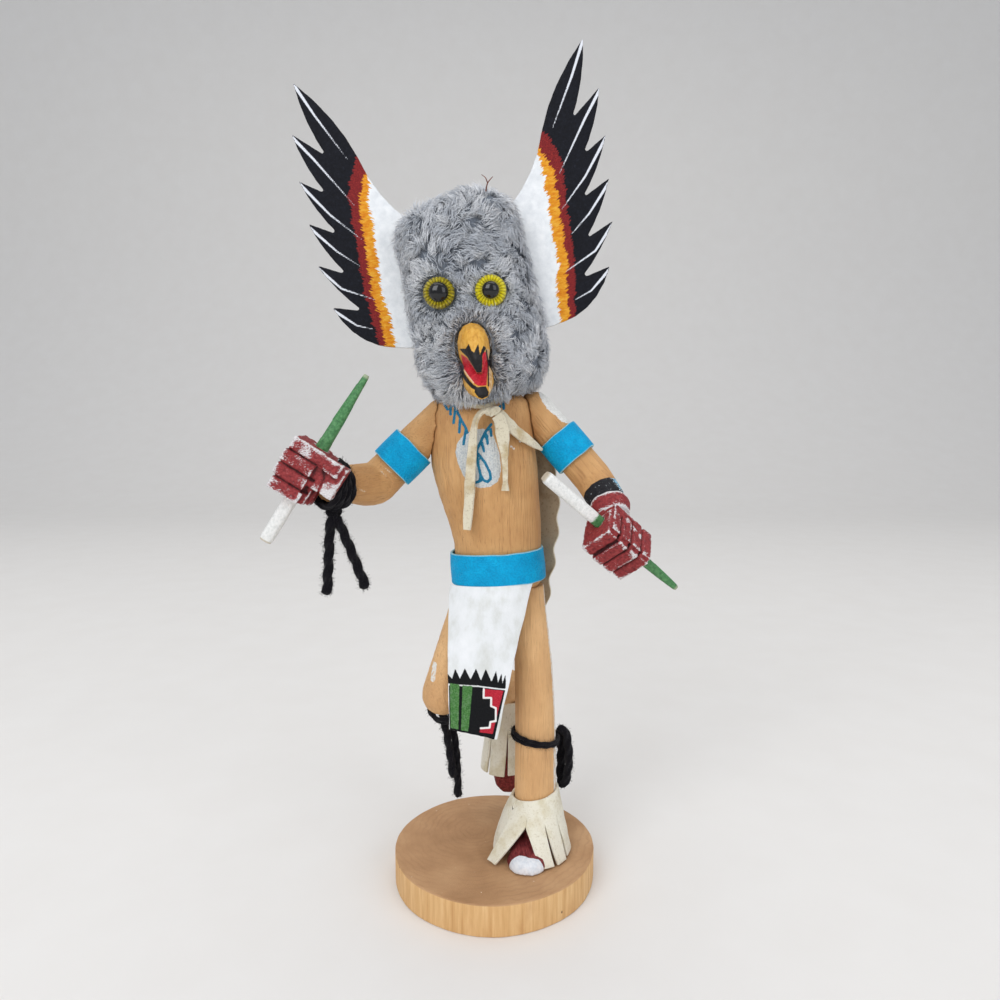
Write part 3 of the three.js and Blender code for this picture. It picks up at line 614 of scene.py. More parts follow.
inner = np.hypot(where[:, 0], where[:, 1]) < 45
where[:, 2] += np.where(inner & (where[:, 2] > 10), lift - 0.12, 0)
set_points(disc, where)

log_wood = Finish("sanded log", 0.62)
log_wood.shader.inputs["Specular IOR Level"].default_value = 0.3
pith = log_wood.place(origin=(-10, 12, 0), stretch=(1, 1, 1e5))
radius_from_pith = log_wood.node("VectorMath", {0: pith}, out="Value", operation="LENGTH")
sway = log_wood.noise(log_wood.place(stretch=(22, 22, 60)), 1, 3)
wavy_radius = log_wood.math("MULTIPLY_ADD", sway, 9, radius_from_pith)
ring_phase = log_wood.math("PINGPONG", log_wood.math("MULTIPLY_ADD", log_wood.noise(pith, 0.22, 1), 3.2, wavy_radius), 1.5)
ring_line = log_wood.over(ring_phase, 0.7, 1.5)
ring_depth = log_wood.noise(pith, 0.05, 2)
rings_seen = log_wood.math("MULTIPLY", ring_line, log_wood.over(ring_depth, 0.3, 0.7))
fine_grain = log_wood.noise(log_wood.place(), 2.4, 4, 0.7)
streaks = log_wood.noise(log_wood.place(stretch=(1.7, 1.7, 30)), 1, 5, 0.6)
broad = log_wood.noise(log_wood.place(stretch=(24, 24, 24)), 1, 3)
top_colour = log_wood.steps(broad, (0.3, tint(166, 126, 88)), (0.5, tint(182, 141, 101)), (0.72, tint(198, 158, 117)))
top_colour = log_wood.blend(log_wood.math("MULTIPLY", rings_seen, 0.28), top_colour, tint(140, 100, 66))
dust = log_wood.over(log_wood.noise(log_wood.place(), 0.62, 1), 0.79, 0.80)
top_colour = log_wood.blend(dust, top_colour, tint(236, 226, 206))
top_colour = log_wood.blend(log_wood.math("MULTIPLY", log_wood.over(fine_grain, 0.55, 0.8), 0.35), top_colour, tint(214, 180, 138))
side_colour = log_wood.steps(streaks, (0.2, tint(188, 138, 84)), (0.42, tint(212, 167, 111)), (0.6, tint(224, 183, 128)),
                             (0.8, tint(232, 198, 148)))
blotch = log_wood.over(log_wood.noise(log_wood.place(stretch=(9, 9, 20)), 1, 3), 0.52, 0.72)
side_colour = log_wood.blend(log_wood.math("MULTIPLY", blotch, 0.5), side_colour, tint(190, 136, 84))
knots = log_wood.over(log_wood.noise(log_wood.place(), 0.33, 1), 0.775, 0.80)
side_colour = log_wood.blend(knots, side_colour, tint(90, 54, 32))
height_here = log_wood.node("SeparateXYZ", {0: log_wood.place()}, out="Z")
on_top = log_wood.over(height_here, 13.8, 14.2)
log_wood.colour(log_wood.blend(on_top, side_colour, top_colour))
log_wood.bump(log_wood.math("MULTIPLY_ADD", rings_seen, 0.5, log_wood.math("ADD", streaks, fine_grain)), 0.3, 0.5)
settle(disc, log_wood, ["base_disc"], 50)

# %% [markdown]
# ## Tan paint over carved wood
# The body is soft cottonwood root, carved and painted a matte tan. The paint is thin, so the grain
# shows through as darker, slightly sunken lines that follow the limb. Noise that is stretched
# along one direction draws such a grain, and each limb stretches it along its own length.
# %% Tan paint


def grain_along(made, direction, length=26.0, width=1.1, twist=0.0):
    """Coordinates stretched along a limb, so that noise turns into wood grain."""
    z_axis = Vector(direction).normalized()
    turn = Vector((0, 0, 1)).rotation_difference(z_axis).to_euler()
    return made.place(turn=[math.degrees(v) for v in turn], stretch=(width, width, length))


def tan_paint(name, direction, lighter=0.55):
    """Returns the finish, its colour so far and its plain coordinates, for marks to be added."""
    made = Finish(name, 0.6)
    made.shader.inputs["Specular IOR Level"].default_value = 0.32
    here = made.place()
    along = grain_along(made, direction)
    grain = made.noise(along, 1, 4, 0.6)
    hair = made.noise(grain_along(made, direction, 14, 0.45), 1, 3, 0.6)
    wash = made.noise(made.place(stretch=(13, 13, 20)), 1, 3)
    def shade(red, green, blue):
        return tint(red + 24 * lighter, green + 27 * lighter, blue + 28 * lighter)
    colour = made.steps(wash, (0.3, shade(180, 129, 77)), (0.5, shade(193, 143, 88)), (0.72, shade(206, 157, 101)))
    dark = made.over(grain, 0.46, 0.32)
    colour = made.blend(made.math("MULTIPLY", dark, 0.42), colour, shade(152, 101, 56))
    thin = made.over(hair, 0.39, 0.29)
    colour = made.blend(made.math("MULTIPLY", thin, 0.55), colour, shade(130, 82, 44))
    specks = made.over(made.noise(here, 1.7, 2), 0.72, 0.76)
    colour = made.blend(made.math("MULTIPLY", specks, 0.5), colour, tint(120, 76, 44))
    made.bump(made.math("ADD", grain, made.math("MULTIPLY", hair, 1.6)), 0.6, 0.75)
    made.gloss(made.over(made.noise(here, 0.5, 2), -0.9, 1.4))
    return made, colour, here


print("tan paint ready")

# %% [markdown]
# ## The trunk
# The trunk is one carved block with rounded shoulders. Its solid already has the right shape, so a
# copy of it is given small even faces by a voxel remesh and then sanded by a smooth modifier.
# Long shallow gouges are pushed in with noise that is stretched from top to bottom.
# %% Trunk
torso = from_solid("torso", "trunk", 0.75, 6)
roughen(torso, lambda p: 0.2 * noise.noise(Vector((p.x * 0.75, p.y * 0.75, p.z * 0.045)))
        + 0.1 * noise.noise(Vector((p.x * 1.6, p.y * 1.6, p.z * 0.12)))
        - 0.3 * max(0, noise.noise(Vector((p.x * 0.5 + 4, p.y * 0.5, p.z * 0.03))) - 0.25))
STROKES = [
    # The painted necklace: two strings with short dashes, and a loop with a tail below them.
    [(-20, 221), (-16.8, 219.3), (-14.5, 214.5), (-12.1, 210.2), (-11.3, 208.1)],
    [(-21.7, 220.4), (-20.1, 218)], [(-18.7, 218.8), (-18.7, 215.8)], [(-16.5, 218.8), (-17.3, 212.1)],
    [(-14.5, 213.4), (-14.8, 208.1)], [(-12.1, 208.6), (-13, 203.1)],
    [(-1.1, 211.6), (-3.8, 208.1), (-7, 201.2), (-7.4, 198.6)],
    [(3.9, 221.4), (4.2, 218.2)], [(2.6, 219.2), (2.1, 218.2)], [(-1.4, 209.7), (-1.1, 206.8)],
    [(-3.2, 207.3), (-2.6, 203.4)], [(-5.1, 203.9), (-4.2, 200.2)],
    [(-6.7, 199.1), (-3.8, 195.4), (-1.7, 191.2), (-1.3, 188.5), (-2.7, 187.1), (-4.3, 187.7), (-5.7, 190.1),
     (-6.7, 194.3), (-7.1, 198.6)],
    [(-5.7, 190.1), (-6, 187.4), (-7.8, 186.8)],
]
PENDANT = [(-11.3, 208.1), (-8.6, 209.4), (-4.3, 209.7), (-0.6, 207.6), (1, 203.9), (2.6, 198.6), (3.1, 192.2),
           (1.8, 187.4), (-1.7, 185), (-6, 184.4), (-9.7, 185.7), (-13, 189.4), (-15.4, 194.7), (-16.5, 199.5),
           (-15.9, 203.3), (-13.4, 206.5)]
where, facing = points_of(torso)
flat = where[:, [0, 2]]
in_front = np.where(where[:, 1] < -2, 0.0, -50.0)
stroke = np.max([0.6 - to_line(flat, line) for line in STROKES], axis=0)
flecks = np.max([0.55 - np.linalg.norm(flat - np.array(spot), axis=1)
                 for spot in [(7.4, 202.3), (8.5, 201.2), (11.2, 204.3)]], axis=0)
add_field(torso, "stroke", stroke + in_front)
add_field(torso, "pendant", inside(flat, PENDANT) + in_front)
add_field(torso, "flecks", flecks + in_front)

trunk_paint, colour, here = tan_paint("tan paint trunk", (0, 0, 1))
brushed = trunk_paint.noise(here, 1.4, 3, 0.7)
silver = trunk_paint.steps(brushed, (0.3, tint(176, 184, 188)), (0.5, tint(204, 209, 208)), (0.75, tint(232, 232, 226)))
thin_spots = trunk_paint.over(trunk_paint.noise(trunk_paint.place(stretch=(1.1, 1.1, 9)), 1, 4), 0.62, 0.74)
silver = trunk_paint.blend(trunk_paint.math("MULTIPLY", thin_spots, 0.6), silver, tint(176, 140, 100))
colour = trunk_paint.blend(trunk_paint.mark("pendant", here, 0.35, 1.0), colour, silver)
colour = trunk_paint.blend(trunk_paint.mark("stroke", here, 0.16, 2.2, 0.1), colour,
                           trunk_paint.steps(brushed, (0.35, tint(8, 96, 134)), (0.7, tint(28, 138, 172))))
colour = trunk_paint.blend(trunk_paint.mark("flecks", here, 0.25, 2.0), colour, tint(238, 236, 230))
trunk_paint.colour(colour)
settle(torso, trunk_paint, ["torso"], None)
bpy.ops.object.shade_smooth()
print("strokes of paint:", len(STROKES))

# %% [markdown]
# ## The arms
# The viewer's left arm is bent out with a crease at the elbow and two light scratches on the
# forearm. The other arm has a patch of white paint on its shoulder and a painted bracelet, black
# with a splash of turquoise and white. Both start from their solids, like the trunk.
# %% Arms


def carve_limb(solid, name, direction, grain=0.8, rounds=6):
    piece = from_solid(solid, name, grain, rounds)
    turn = Vector(direction).normalized().rotation_difference(Vector((0, 0, 1)))

    def cut_marks(p):
        q = turn @ p
        return (0.13 * noise.noise(Vector((q.x * 0.7, q.y * 0.7, q.z * 0.04)))
                + 0.06 * noise.noise(Vector((q.x * 2, q.y * 2, q.z * 0.15))))
    roughen(piece, cut_marks)
    return piece


right_arm = carve_limb("right_arm", "bent_arm", (-0.7, -0.4, -0.4))
where, facing = points_of(right_arm)
crease = to_line(where, [(-44.5, -11.5, 187), (-47.5, -9.5, 180.5), (-51, -4, 177.5)])
bulge = 1.3 * np.exp(-(np.linalg.norm(where - np.array([-55.0, -11.0, 178.0]), axis=1) / 8.5) ** 2)
set_points(right_arm, where + facing * (bulge - 0.45 * np.exp(-(crease / 0.55) ** 2))[:, None])
where, facing = points_of(right_arm)
scratch = np.max([0.32 - to_line(where[:, [0, 2]], line) for line in
                  [[(-47.6, 193.4), (-44.6, 190.6)], [(-48.9, 191.6), (-46.6, 189.4)], [(-56, 184.6), (-54.2, 183.4)]]],
                 axis=0)
add_field(right_arm, "scratch", np.where(where[:, 1] < -6, scratch, -9))
arm_paint, colour, here = tan_paint("tan paint bent arm", (-0.6, -0.6, -0.1))
broken = arm_paint.over(arm_paint.noise(here, 2.2, 3), 0.45, 0.55)
colour = arm_paint.blend(arm_paint.math("MULTIPLY", arm_paint.mark("scratch", here, 0.2, 2), broken), colour,
                         tint(226, 210, 186))
arm_paint.colour(colour)
settle(right_arm, arm_paint, ["right_arm"], None)
bpy.ops.object.shade_smooth()

left_arm = carve_limb("left_arm", "lowered_arm", (0.6, -0.2, -0.75), 0.65)
where, facing = points_of(left_arm)
PATCH = [(18.5, 228), (21, 221.3), (23.1, 218.3), (27.1, 214.9), (29.2, 212.7), (31.2, 212.2), (38, 210), (40, 226), (26, 232)]
add_field(left_arm, "patch", inside(where[:, [0, 2]], PATCH))
elbow, wrist = np.array([43.4, -6, 188]), np.array([49.2, -15.5, 178])
along_arm = (where - elbow) @ ((wrist - elbow) / np.linalg.norm(wrist - elbow))
add_field(left_arm, "bracelet", np.minimum(along_arm - 7.6, 30 - along_arm))
add_field(left_arm, "outer_side", (where - elbow) @ np.array([0.8, 0.25, 0.45]))
lowered_paint, colour, here = tan_paint("tan paint lowered arm", (0.6, -0.2, -0.75))
white = lowered_paint.steps(lowered_paint.noise(here, 1.2, 3), (0.3, tint(214, 214, 208)), (0.7, tint(240, 240, 236)))
colour = lowered_paint.blend(lowered_paint.mark("patch", here, 0.7, 0.8), colour, white)
splash = lowered_paint.noise(here, 1.15, 3, 0.7)
side_here = lowered_paint.over(lowered_paint.field("outer_side"), 2.5, 7.0)
dots = lowered_paint.over(lowered_paint.math("MULTIPLY_ADD", side_here, 0.5, splash), 0.66, 0.69)
band = lowered_paint.blend(dots, tint(22, 22, 28), lowered_paint.steps(
    lowered_paint.noise(here, 2.3, 2), (0.44, tint(24, 140, 186)), (0.52, tint(60, 176, 214)), (0.6, tint(228, 236, 238))))
colour = lowered_paint.blend(lowered_paint.mark("bracelet", here, 0.25, 0.9, 0.1), colour, band)
lowered_paint.colour(colour)
settle(left_arm, lowered_paint, ["left_arm"], None)
bpy.ops.object.shade_smooth()

# %% [markdown]
# ## The legs and moccasins
# One leg stands on the slice and one is bent back in a dance step, with its foot hanging behind.
# The feet are painted as dark red moccasins with white toes, on the same carved wood. Where the
# colours meet is stored as a distance from the toe line, so a brushed edge can be drawn there.
# %% Legs


def leg_finish(name, direction):
    # Painted light: the legs get a lighter tan than the trunk and arms, as if they stood in more light.
    made, colour, here = tan_paint(name, direction, 1.25)
    streak = made.noise(made.place(stretch=(0.9, 7, 0.9)), 1, 4, 0.65)
    red = made.steps(streak, (0.3, tint(78, 22, 26)), (0.48, tint(122, 42, 44)), (0.62, tint(144, 58, 58)), (0.8, tint(196, 120, 112)))
    colour = made.blend(made.mark("shoe", here, 0.3, 0.8), colour, red)
    white = made.steps(made.noise(here, 0.5, 3), (0.3, tint(222, 229, 236)), (0.6, tint(243, 246, 249)))
    colour = made.blend(made.mark("toe", here, 0.45, 0.55, 0.1), colour, white)
    rubbed = made.over(made.noise(made.place(stretch=(1, 1, 2.4)), 1, 4, 0.7), 0.36, 0.52)
    colour = made.blend(made.math("MULTIPLY", made.mark("scuff", here, 0.45, 1.1), rubbed), colour, tint(236, 234, 226))
    return made.colour(colour)


standing_leg = carve_limb("left_leg", "standing_leg", (0, 0, 1), 0.72, 5)
where, facing = points_of(standing_leg)
ahead = (where[:, 0] - 18.6) * -0.19 + (where[:, 1] - 0.5) * -0.98
across = (where[:, 0] - 18.6) * -0.98 + (where[:, 1] - 0.5) * 0.19
widen = 0.12 * np.clip((ahead - 12) / 8, 0, 1) * (where[:, 2] < 32) * across
where[:, 0] += -0.98 * widen
where[:, 1] += 0.19 * widen
set_points(standing_leg, where)
add_field(standing_leg, "shoe", 29 - where[:, 2])
add_field(standing_leg, "toe", ahead - 23.2 + 0.5 * np.sin(where[:, 0] * 0.7))
edge_line = np.interp(where[:, 2], [25, 67, 84, 103, 132, 140], [27.3, 27.2, 26.6, 25.3, 22.2, 21.6])
add_field(standing_leg, "scuff", np.where((where[:, 2] > 40) & (np.abs(where[:, 1]) < 5),
                                          where[:, 0] - edge_line - 0.1 - 0.4 * (where[:, 2] > 64), -9))
settle(standing_leg, leg_finish("tan paint standing leg", (0, 0, 1)), ["left_leg"], None)
bpy.ops.object.shade_smooth()

bent_leg = carve_limb("right_leg", "bent_leg", (-0.25, -0.2, 1), 0.75, 5)
where, facing = points_of(bent_leg)
add_field(bent_leg, "shoe", np.where(where[:, 1] > 20, 60 - where[:, 2], -9))
add_field(bent_leg, "toe", np.full(len(where), -9.0))
scrape = 1.0 - to_line(where[:, [0, 2]], [(-26.4, 105.4), (-27.2, 99.2)])
add_field(bent_leg, "scuff", np.where(where[:, 1] < -6, scrape, -9))
settle(bent_leg, leg_finish("tan paint bent leg", (-0.25, -0.2, 1)), ["right_leg"], None)
bpy.ops.object.shade_smooth()
print("legs done")

# %% [markdown]
# ## The mask's own frame
# The mask leans to the viewer's left, and the wings, eyes and beak lean with it. Everything on it
# is easier to describe upright, so two helpers carry points into the mask's frame and back.
# %% Mask frame
MASK_FOOT = np.array([-3.2, 0.5, 223.1])
MASK_LEAN = -8.3
_c, _s = cos(radians(MASK_LEAN)), sin(radians(MASK_LEAN))
LEAN = np.array([[_c, 0, _s], [0, 1, 0], [-_s, 0, _c]])


def to_mask(spots):
    return (np.asarray(spots) - MASK_FOOT) @ LEAN


def from_mask(spots):
    return np.asarray(spots) @ LEAN.T + MASK_FOOT


def mask_place(made, stretch=(1, 1, 1), origin=(0, 0, 0)):
    """Noise coordinates that stand upright in the mask's frame."""
    start = from_mask(np.array(origin, float))
    return made.place(origin=start, turn=(0, MASK_LEAN, 0), stretch=stretch)


print("mask foot goes to", to_mask(MASK_FOOT))

# %% [markdown]
# ## The wings
# Each wing is sawn from thin board and painted in bands: white by the mask, then an orange flame,
# a red-brown flame and black feathers. Three distances are stored, one to each line between two
# bands, and the flames are those lines shaken by noise that is stretched along the feathers.
# A white quill is brushed from each feather's tip inwards, and it breaks up as the brush runs dry.
# %% Wings
BANDS = {
    # How far out each line lies, as (height, distance from the mask's centre line).
    "black_line": [(28, 43.6), (31, 44), (38, 44.8), (52.5, 46.5), (65, 46.8), (78, 46.5), (94.5, 47.4), (103, 44), (110, 40.6), (118, 36)],
    "red_line": [(26, 41), (28.5, 41), (41, 41.5), (53, 43.4), (66, 43.3), (77, 43.2), (92, 43), (103, 38.2), (110, 34)],
    "orange_line": [(26, 37), (30, 37), (41.5, 37), (52, 39), (65, 39), (77, 38.5), (91, 38.5), (101, 37), (108, 31)],
}
QUILLS = [
    [(63, 144.6), (55.6, 129.4), (44.7, 109.8)], [(67.7, 123.6), (59, 111.7), (45, 90.6)],
    [(67, 102.8), (56, 88), (44, 75.7)], [(66.4, 84.7), (55.7, 72.4), (46.8, 64.8)],
    [(65.4, 66.8), (56.2, 56.3), (42, 49.3)], [(61.6, 47.8), (52.2, 39.7), (44.8, 36.9)],
]


def tapered_line(spots, line, start_half, end_half):
    """Signed distance into a brush stroke that narrows from its first point to its last."""
    runs = [math.dist(a, b) for a, b in zip(line, line[1:])]
    total, done = sum(runs), 0
    best = np.full(len(spots), -1e3)
    along = np.zeros(len(spots))
    for (a, b), run in zip(zip(line, line[1:]), runs):
        a, b = np.array(a, float), np.array(b, float)
        part = np.clip((spots - a) @ (b - a) / run ** 2, 0, 1)
        share = (done + part * run) / total
        depth = start_half + (end_half - start_half) * share - np.linalg.norm(spots - a - part[:, None] * (b - a), axis=1)
        along = np.where(depth > best, share, along)
        best = np.maximum(best, depth)
        done += run
    return best, along


def wing_finish(name, side):
    made = Finish(name, 0.62)
    made.shader.inputs["Specular IOR Level"].default_value = 0.2
    here = mask_place(made)
    fan = made.place(origin=from_mask(np.zeros(3)), turn=(0, MASK_LEAN - side * 28, 0), stretch=(5.5, 5, 0.62))
    spikes = made.noise(fan, 1, 3, 0.6)
    big = made.noise(mask_place(made, (9, 9, 3.4)), 1, 2)
    shake = made.math("ADD", made.math("MULTIPLY_ADD", spikes, 8.5, -4.25), made.math("MULTIPLY_ADD", big, 4.0, -2.0))
    fine = made.noise(here, 2.2, 3, 0.7)
    mottle = made.noise(here, 0.3, 3)

    def band(field, sway):
        moved = made.math("ADD", made.field(field), made.math("MULTIPLY", shake, sway))
        return made.over(moved, -0.12, 0.12)
    white = made.steps(mottle, (0.3, tint(222, 226, 228)), (0.6, tint(236, 239, 240)), (0.8, tint(243, 245, 245)))
    orange = made.steps(made.noise(mask_place(made, (3, 3, 1.0)), 1, 3, 0.7), (0.3, tint(204, 112, 22)),
                        (0.5, tint(222, 148, 34)), (0.68, tint(232, 178, 66)))
    red = made.steps(fine, (0.3, tint(92, 22, 26)), (0.52, tint(126, 34, 36)), (0.75, tint(158, 56, 46)))
    black = made.steps(made.noise(here, 0.9, 4, 0.6), (0.3, tint(12, 13, 19)), (0.6, tint(19, 21, 29)), (0.8, tint(34, 37, 47)))
    colour = made.blend(band("orange_line", 0.75), white, orange)
    colour = made.blend(band("red_line", 0.72), colour, red)
    colour = made.blend(band("black_line", 0.6), colour, black)
    dry = made.noise(made.place(turn=(0, MASK_LEAN + side * 40, 0), stretch=(0.5, 2, 2.6)), 1, 4, 0.75)
    runs_dry = made.math("MULTIPLY_ADD", made.field("quill_run"), 0.20, 0.26)
    paint_left = made.over(made.math("SUBTRACT", dry, runs_dry), -0.03, 0.05)
    colour = made.blend(made.math("MULTIPLY", made.mark("quill", here, 0.18, 1.8, 0.1), paint_left), colour, tint(222, 226, 232))
    worn = made.mark("cut_edge", here, 0.5, 0.9, 0.15)
    colour = made.blend(made.math("MULTIPLY", worn, 0.55), colour, tint(150, 132, 112))
    made.colour(colour)
    made.gloss(made.over(fine, -1.6, 1.2))
    made.bump(made.math("ADD", made.noise(here, 1.1, 4, 0.65), made.math("MULTIPLY", dry, 0.5)), 0.25, 0.5)
    return made


for solid, name, side in (("right_wing", "wing_viewer_left", -1), ("left_wing", "wing_viewer_right", 1)):
    wing = from_solid(solid, name, 0.6, 3)
    roughen(wing, lambda p: 0.09 * noise.noise(Vector((p.x * 0.35, p.y, p.z * 0.35))) + 0.05 * noise.noise(p * 1.3))
    where, facing = points_of(wing)
    local = to_mask(where)
    out, height = np.abs(local[:, 0]), local[:, 2]
    for field, line in BANDS.items():
        heights, reaches = zip(*line)
        add_field(wing, field, out - np.interp(height, heights, reaches))
    flat = np.stack([out, height], axis=1)
    strokes = [tapered_line(flat, line, 0.66, 0.16) for line in QUILLS]
    pick_one = np.argmax([depth for depth, _ in strokes], axis=0)
    front = np.where(facing[:, 1] < -0.3, 0.0, -9.0)
    add_field(wing, "quill", np.choose(pick_one, [depth for depth, _ in strokes]) + front)
    add_field(wing, "quill_run", np.choose(pick_one, [run for _, run in strokes]))
    rim = np.where((np.abs(facing[:, 1]) < 0.55) & (out < 47), 0.25, -1.2)
    add_field(wing, "cut_edge", rim)
    settle(wing, wing_finish("paint " + name, side), [solid], 45)

# %% [markdown]
# ## The beak
# The beak is carved in two halves and painted ochre, with a black tip, a bright red mouth and a
# black lower tip. The outlines of the painted shapes are drawn flat, as seen from in front, and
# each is stored as a distance.
# %% Beak
BEAK_MARKS = {
    "upper_black": [(-7.8, 20), (-5, 18.7), (-3.3, 20.2), (-2.7, 17.5), (-1.7, 16.5), (0.4, 19.9), (0.3, 15.3), (1.1, 16.9),
                    (2.2, 18.8), (3.1, 17.8), (1.3, 15.2), (0.7, 11.4), (0.1, 8.9), (-0.9, 8.6), (-2, 9.1), (-3.2, 12),
                    (-4.7, 15.4)],
    "mouth": [(-7.3, 17.7), (-7.4, 15.3), (-7.9, 13.1), (-5.9, 9), (-3.9, 5.6), (-2.1, 4), (1, 3.8), (1.9, 7.8),
              (2.9, 13.3), (2.9, 16.3), (1.7, 16.5), (1.3, 15.2), (0.7, 11.4), (0.1, 8.9), (-0.9, 8.6), (-2, 9.1),
              (-3.2, 12), (-4.8, 15.2)],
    "lower_black": [(-3.6, 3.8), (0.7, 3.5), (1.6, 1.1), (1, -0.5), (-1.4, -1.1), (-2.8, -0.3), (-4, 1.8)],
}
beak = from_solid("beak", "beak", 0.4, 4)
roughen(beak, lambda p: 0.10 * noise.noise(p * 0.8) + 0.05 * noise.noise(p * 2.4))
where, facing = points_of(beak)
local = to_mask(where)
flat = local[:, [0, 2]]
for field, outline in BEAK_MARKS.items():
    add_field(beak, field, inside(flat, outline))
add_field(beak, "lip_line", 0.28 - to_line(flat, [(-7.9, 13.1), (-5.9, 9), (-3.9, 5.6)]))
add_field(beak, "dark_line", 0.75 - to_line(flat, [(-8.3, 12.0), (-7.7, 9.6), (-6.0, 6.4), (-4.5, 4.3), (-3.5, 3.5)]))
add_field(beak, "pale_strip", 0.65 - to_line(flat, [(3.7, 17.1), (3.6, 13), (3.3, 9.3), (2.6, 3.3), (2.3, 0.8)]))
add_field(beak, "thin_line", 0.28 - to_line(flat, [(3.0, 17), (2.9, 13), (2.5, 9.3), (1.8, 3.6)]))

beak_paint = Finish("beak paint", 0.5)
beak_paint.shader.inputs["Specular IOR Level"].default_value = 0.3
here = mask_place(beak_paint)
ochre_grain = beak_paint.noise(mask_place(beak_paint, (0.9, 3, 3)), 1, 4, 0.65)
ochre = beak_paint.steps(ochre_grain, (0.26, tint(176, 118, 36)), (0.46, tint(208, 153, 56)), (0.68, tint(222, 174, 82)))
red = beak_paint.steps(beak_paint.noise(here, 1.1, 3), (0.3, tint(168, 14, 34)), (0.6, tint(206, 32, 50)), (0.8, tint(222, 70, 76)))
soot = beak_paint.steps(beak_paint.noise(here, 1.4, 3), (0.3, tint(8, 6, 7)), (0.75, tint(28, 24, 24)))
pale = beak_paint.steps(beak_paint.noise(here, 0.8, 3), (0.35, tint(196, 150, 92)), (0.65, tint(224, 196, 150)))
colour = beak_paint.blend(beak_paint.mark("pale_strip", here, 0.12, 1), ochre, pale)
colour = beak_paint.blend(beak_paint.mark("dark_line", here, 0.22, 1.4), colour, soot)
colour = beak_paint.blend(beak_paint.mark("mouth", here, 0.12, 1.1, 0.1), colour, red)
colour = beak_paint.blend(beak_paint.mark("lip_line", here, 0.12, 1.4, 0.08), colour, tint(226, 190, 150))
colour = beak_paint.blend(beak_paint.mark("thin_line", here, 0.12, 1.2, 0.08), colour, tint(40, 26, 22))
colour = beak_paint.blend(beak_paint.mark("upper_black", here, 0.25, 1.3, 0.1), colour, soot)
colour = beak_paint.blend(beak_paint.mark("lower_black", here, 0.25, 1.3, 0.1), colour, soot)
beak_paint.colour(colour)
beak_paint.bump(ochre_grain, 0.25, 0.4)
settle(beak, beak_paint, ["beak"], None)
bpy.ops.object.shade_smooth()

# %% [markdown]
# ## The eyes
# The eyes are moulded plastic craft eyes: a fluted yellow ring that slopes up to a domed black
# pupil. A circle is extruded inwards ring by ring, and every second spoke is pushed down to make
# the flutes. The pupil is a separate dome, because it has a different gloss.
# %% Eyes
FLUTES = 26


def turned(name, rings, sides):
    """Rings of (radius, depth) extruded from one circle, with the middle closed."""
    bpy.ops.mesh.primitive_circle_add(vertices=sides, radius=rings[0][0] * MM, location=(0, 0, rings[0][1] * MM))
    piece = named(name)
    pick(piece)
    bpy.ops.object.transform_apply(location=True)
    bpy.ops.object.mode_set(mode="EDIT")
    bpy.ops.mesh.select_all(action="SELECT")
    for (radius, depth), (next_radius, next_depth) in zip(rings, rings[1:]):
        bpy.ops.mesh.extrude_region_move(TRANSFORM_OT_translate={"value": mm(0, 0, next_depth - depth)})
        share = next_radius / radius
        bpy.ops.transform.resize(value=(share, share, 1), center_override=mm(0, 0, next_depth))
    bpy.ops.mesh.merge(type="CENTER")
    bpy.ops.mesh.select_all(action="SELECT")
    bpy.ops.mesh.normals_make_consistent(inside=False)
    bpy.ops.object.mode_set(mode="OBJECT")
    return piece


def plastic(name, stops, roughness, scale=1.0, groove_shade=None):
    made = Finish(name, roughness)
    made.shader.inputs["Coat Weight"].default_value = 0.5
    made.shader.inputs["Coat Roughness"].default_value = 0.08
    here = made.place(stretch=(scale, scale, scale))
    colour = made.steps(made.noise(here, 0.9, 3, 0.6), *stops)
    # Painted shade: a darker colour is laid into the flutes, on the outer rim and at the foot by the pupil.
    if groove_shade:
        colour = made.blend(made.field("groove_shade"), colour, groove_shade)
    made.colour(colour)
    made.bump(made.noise(here, 2.4, 2), 0.08, 0.3)
    return made


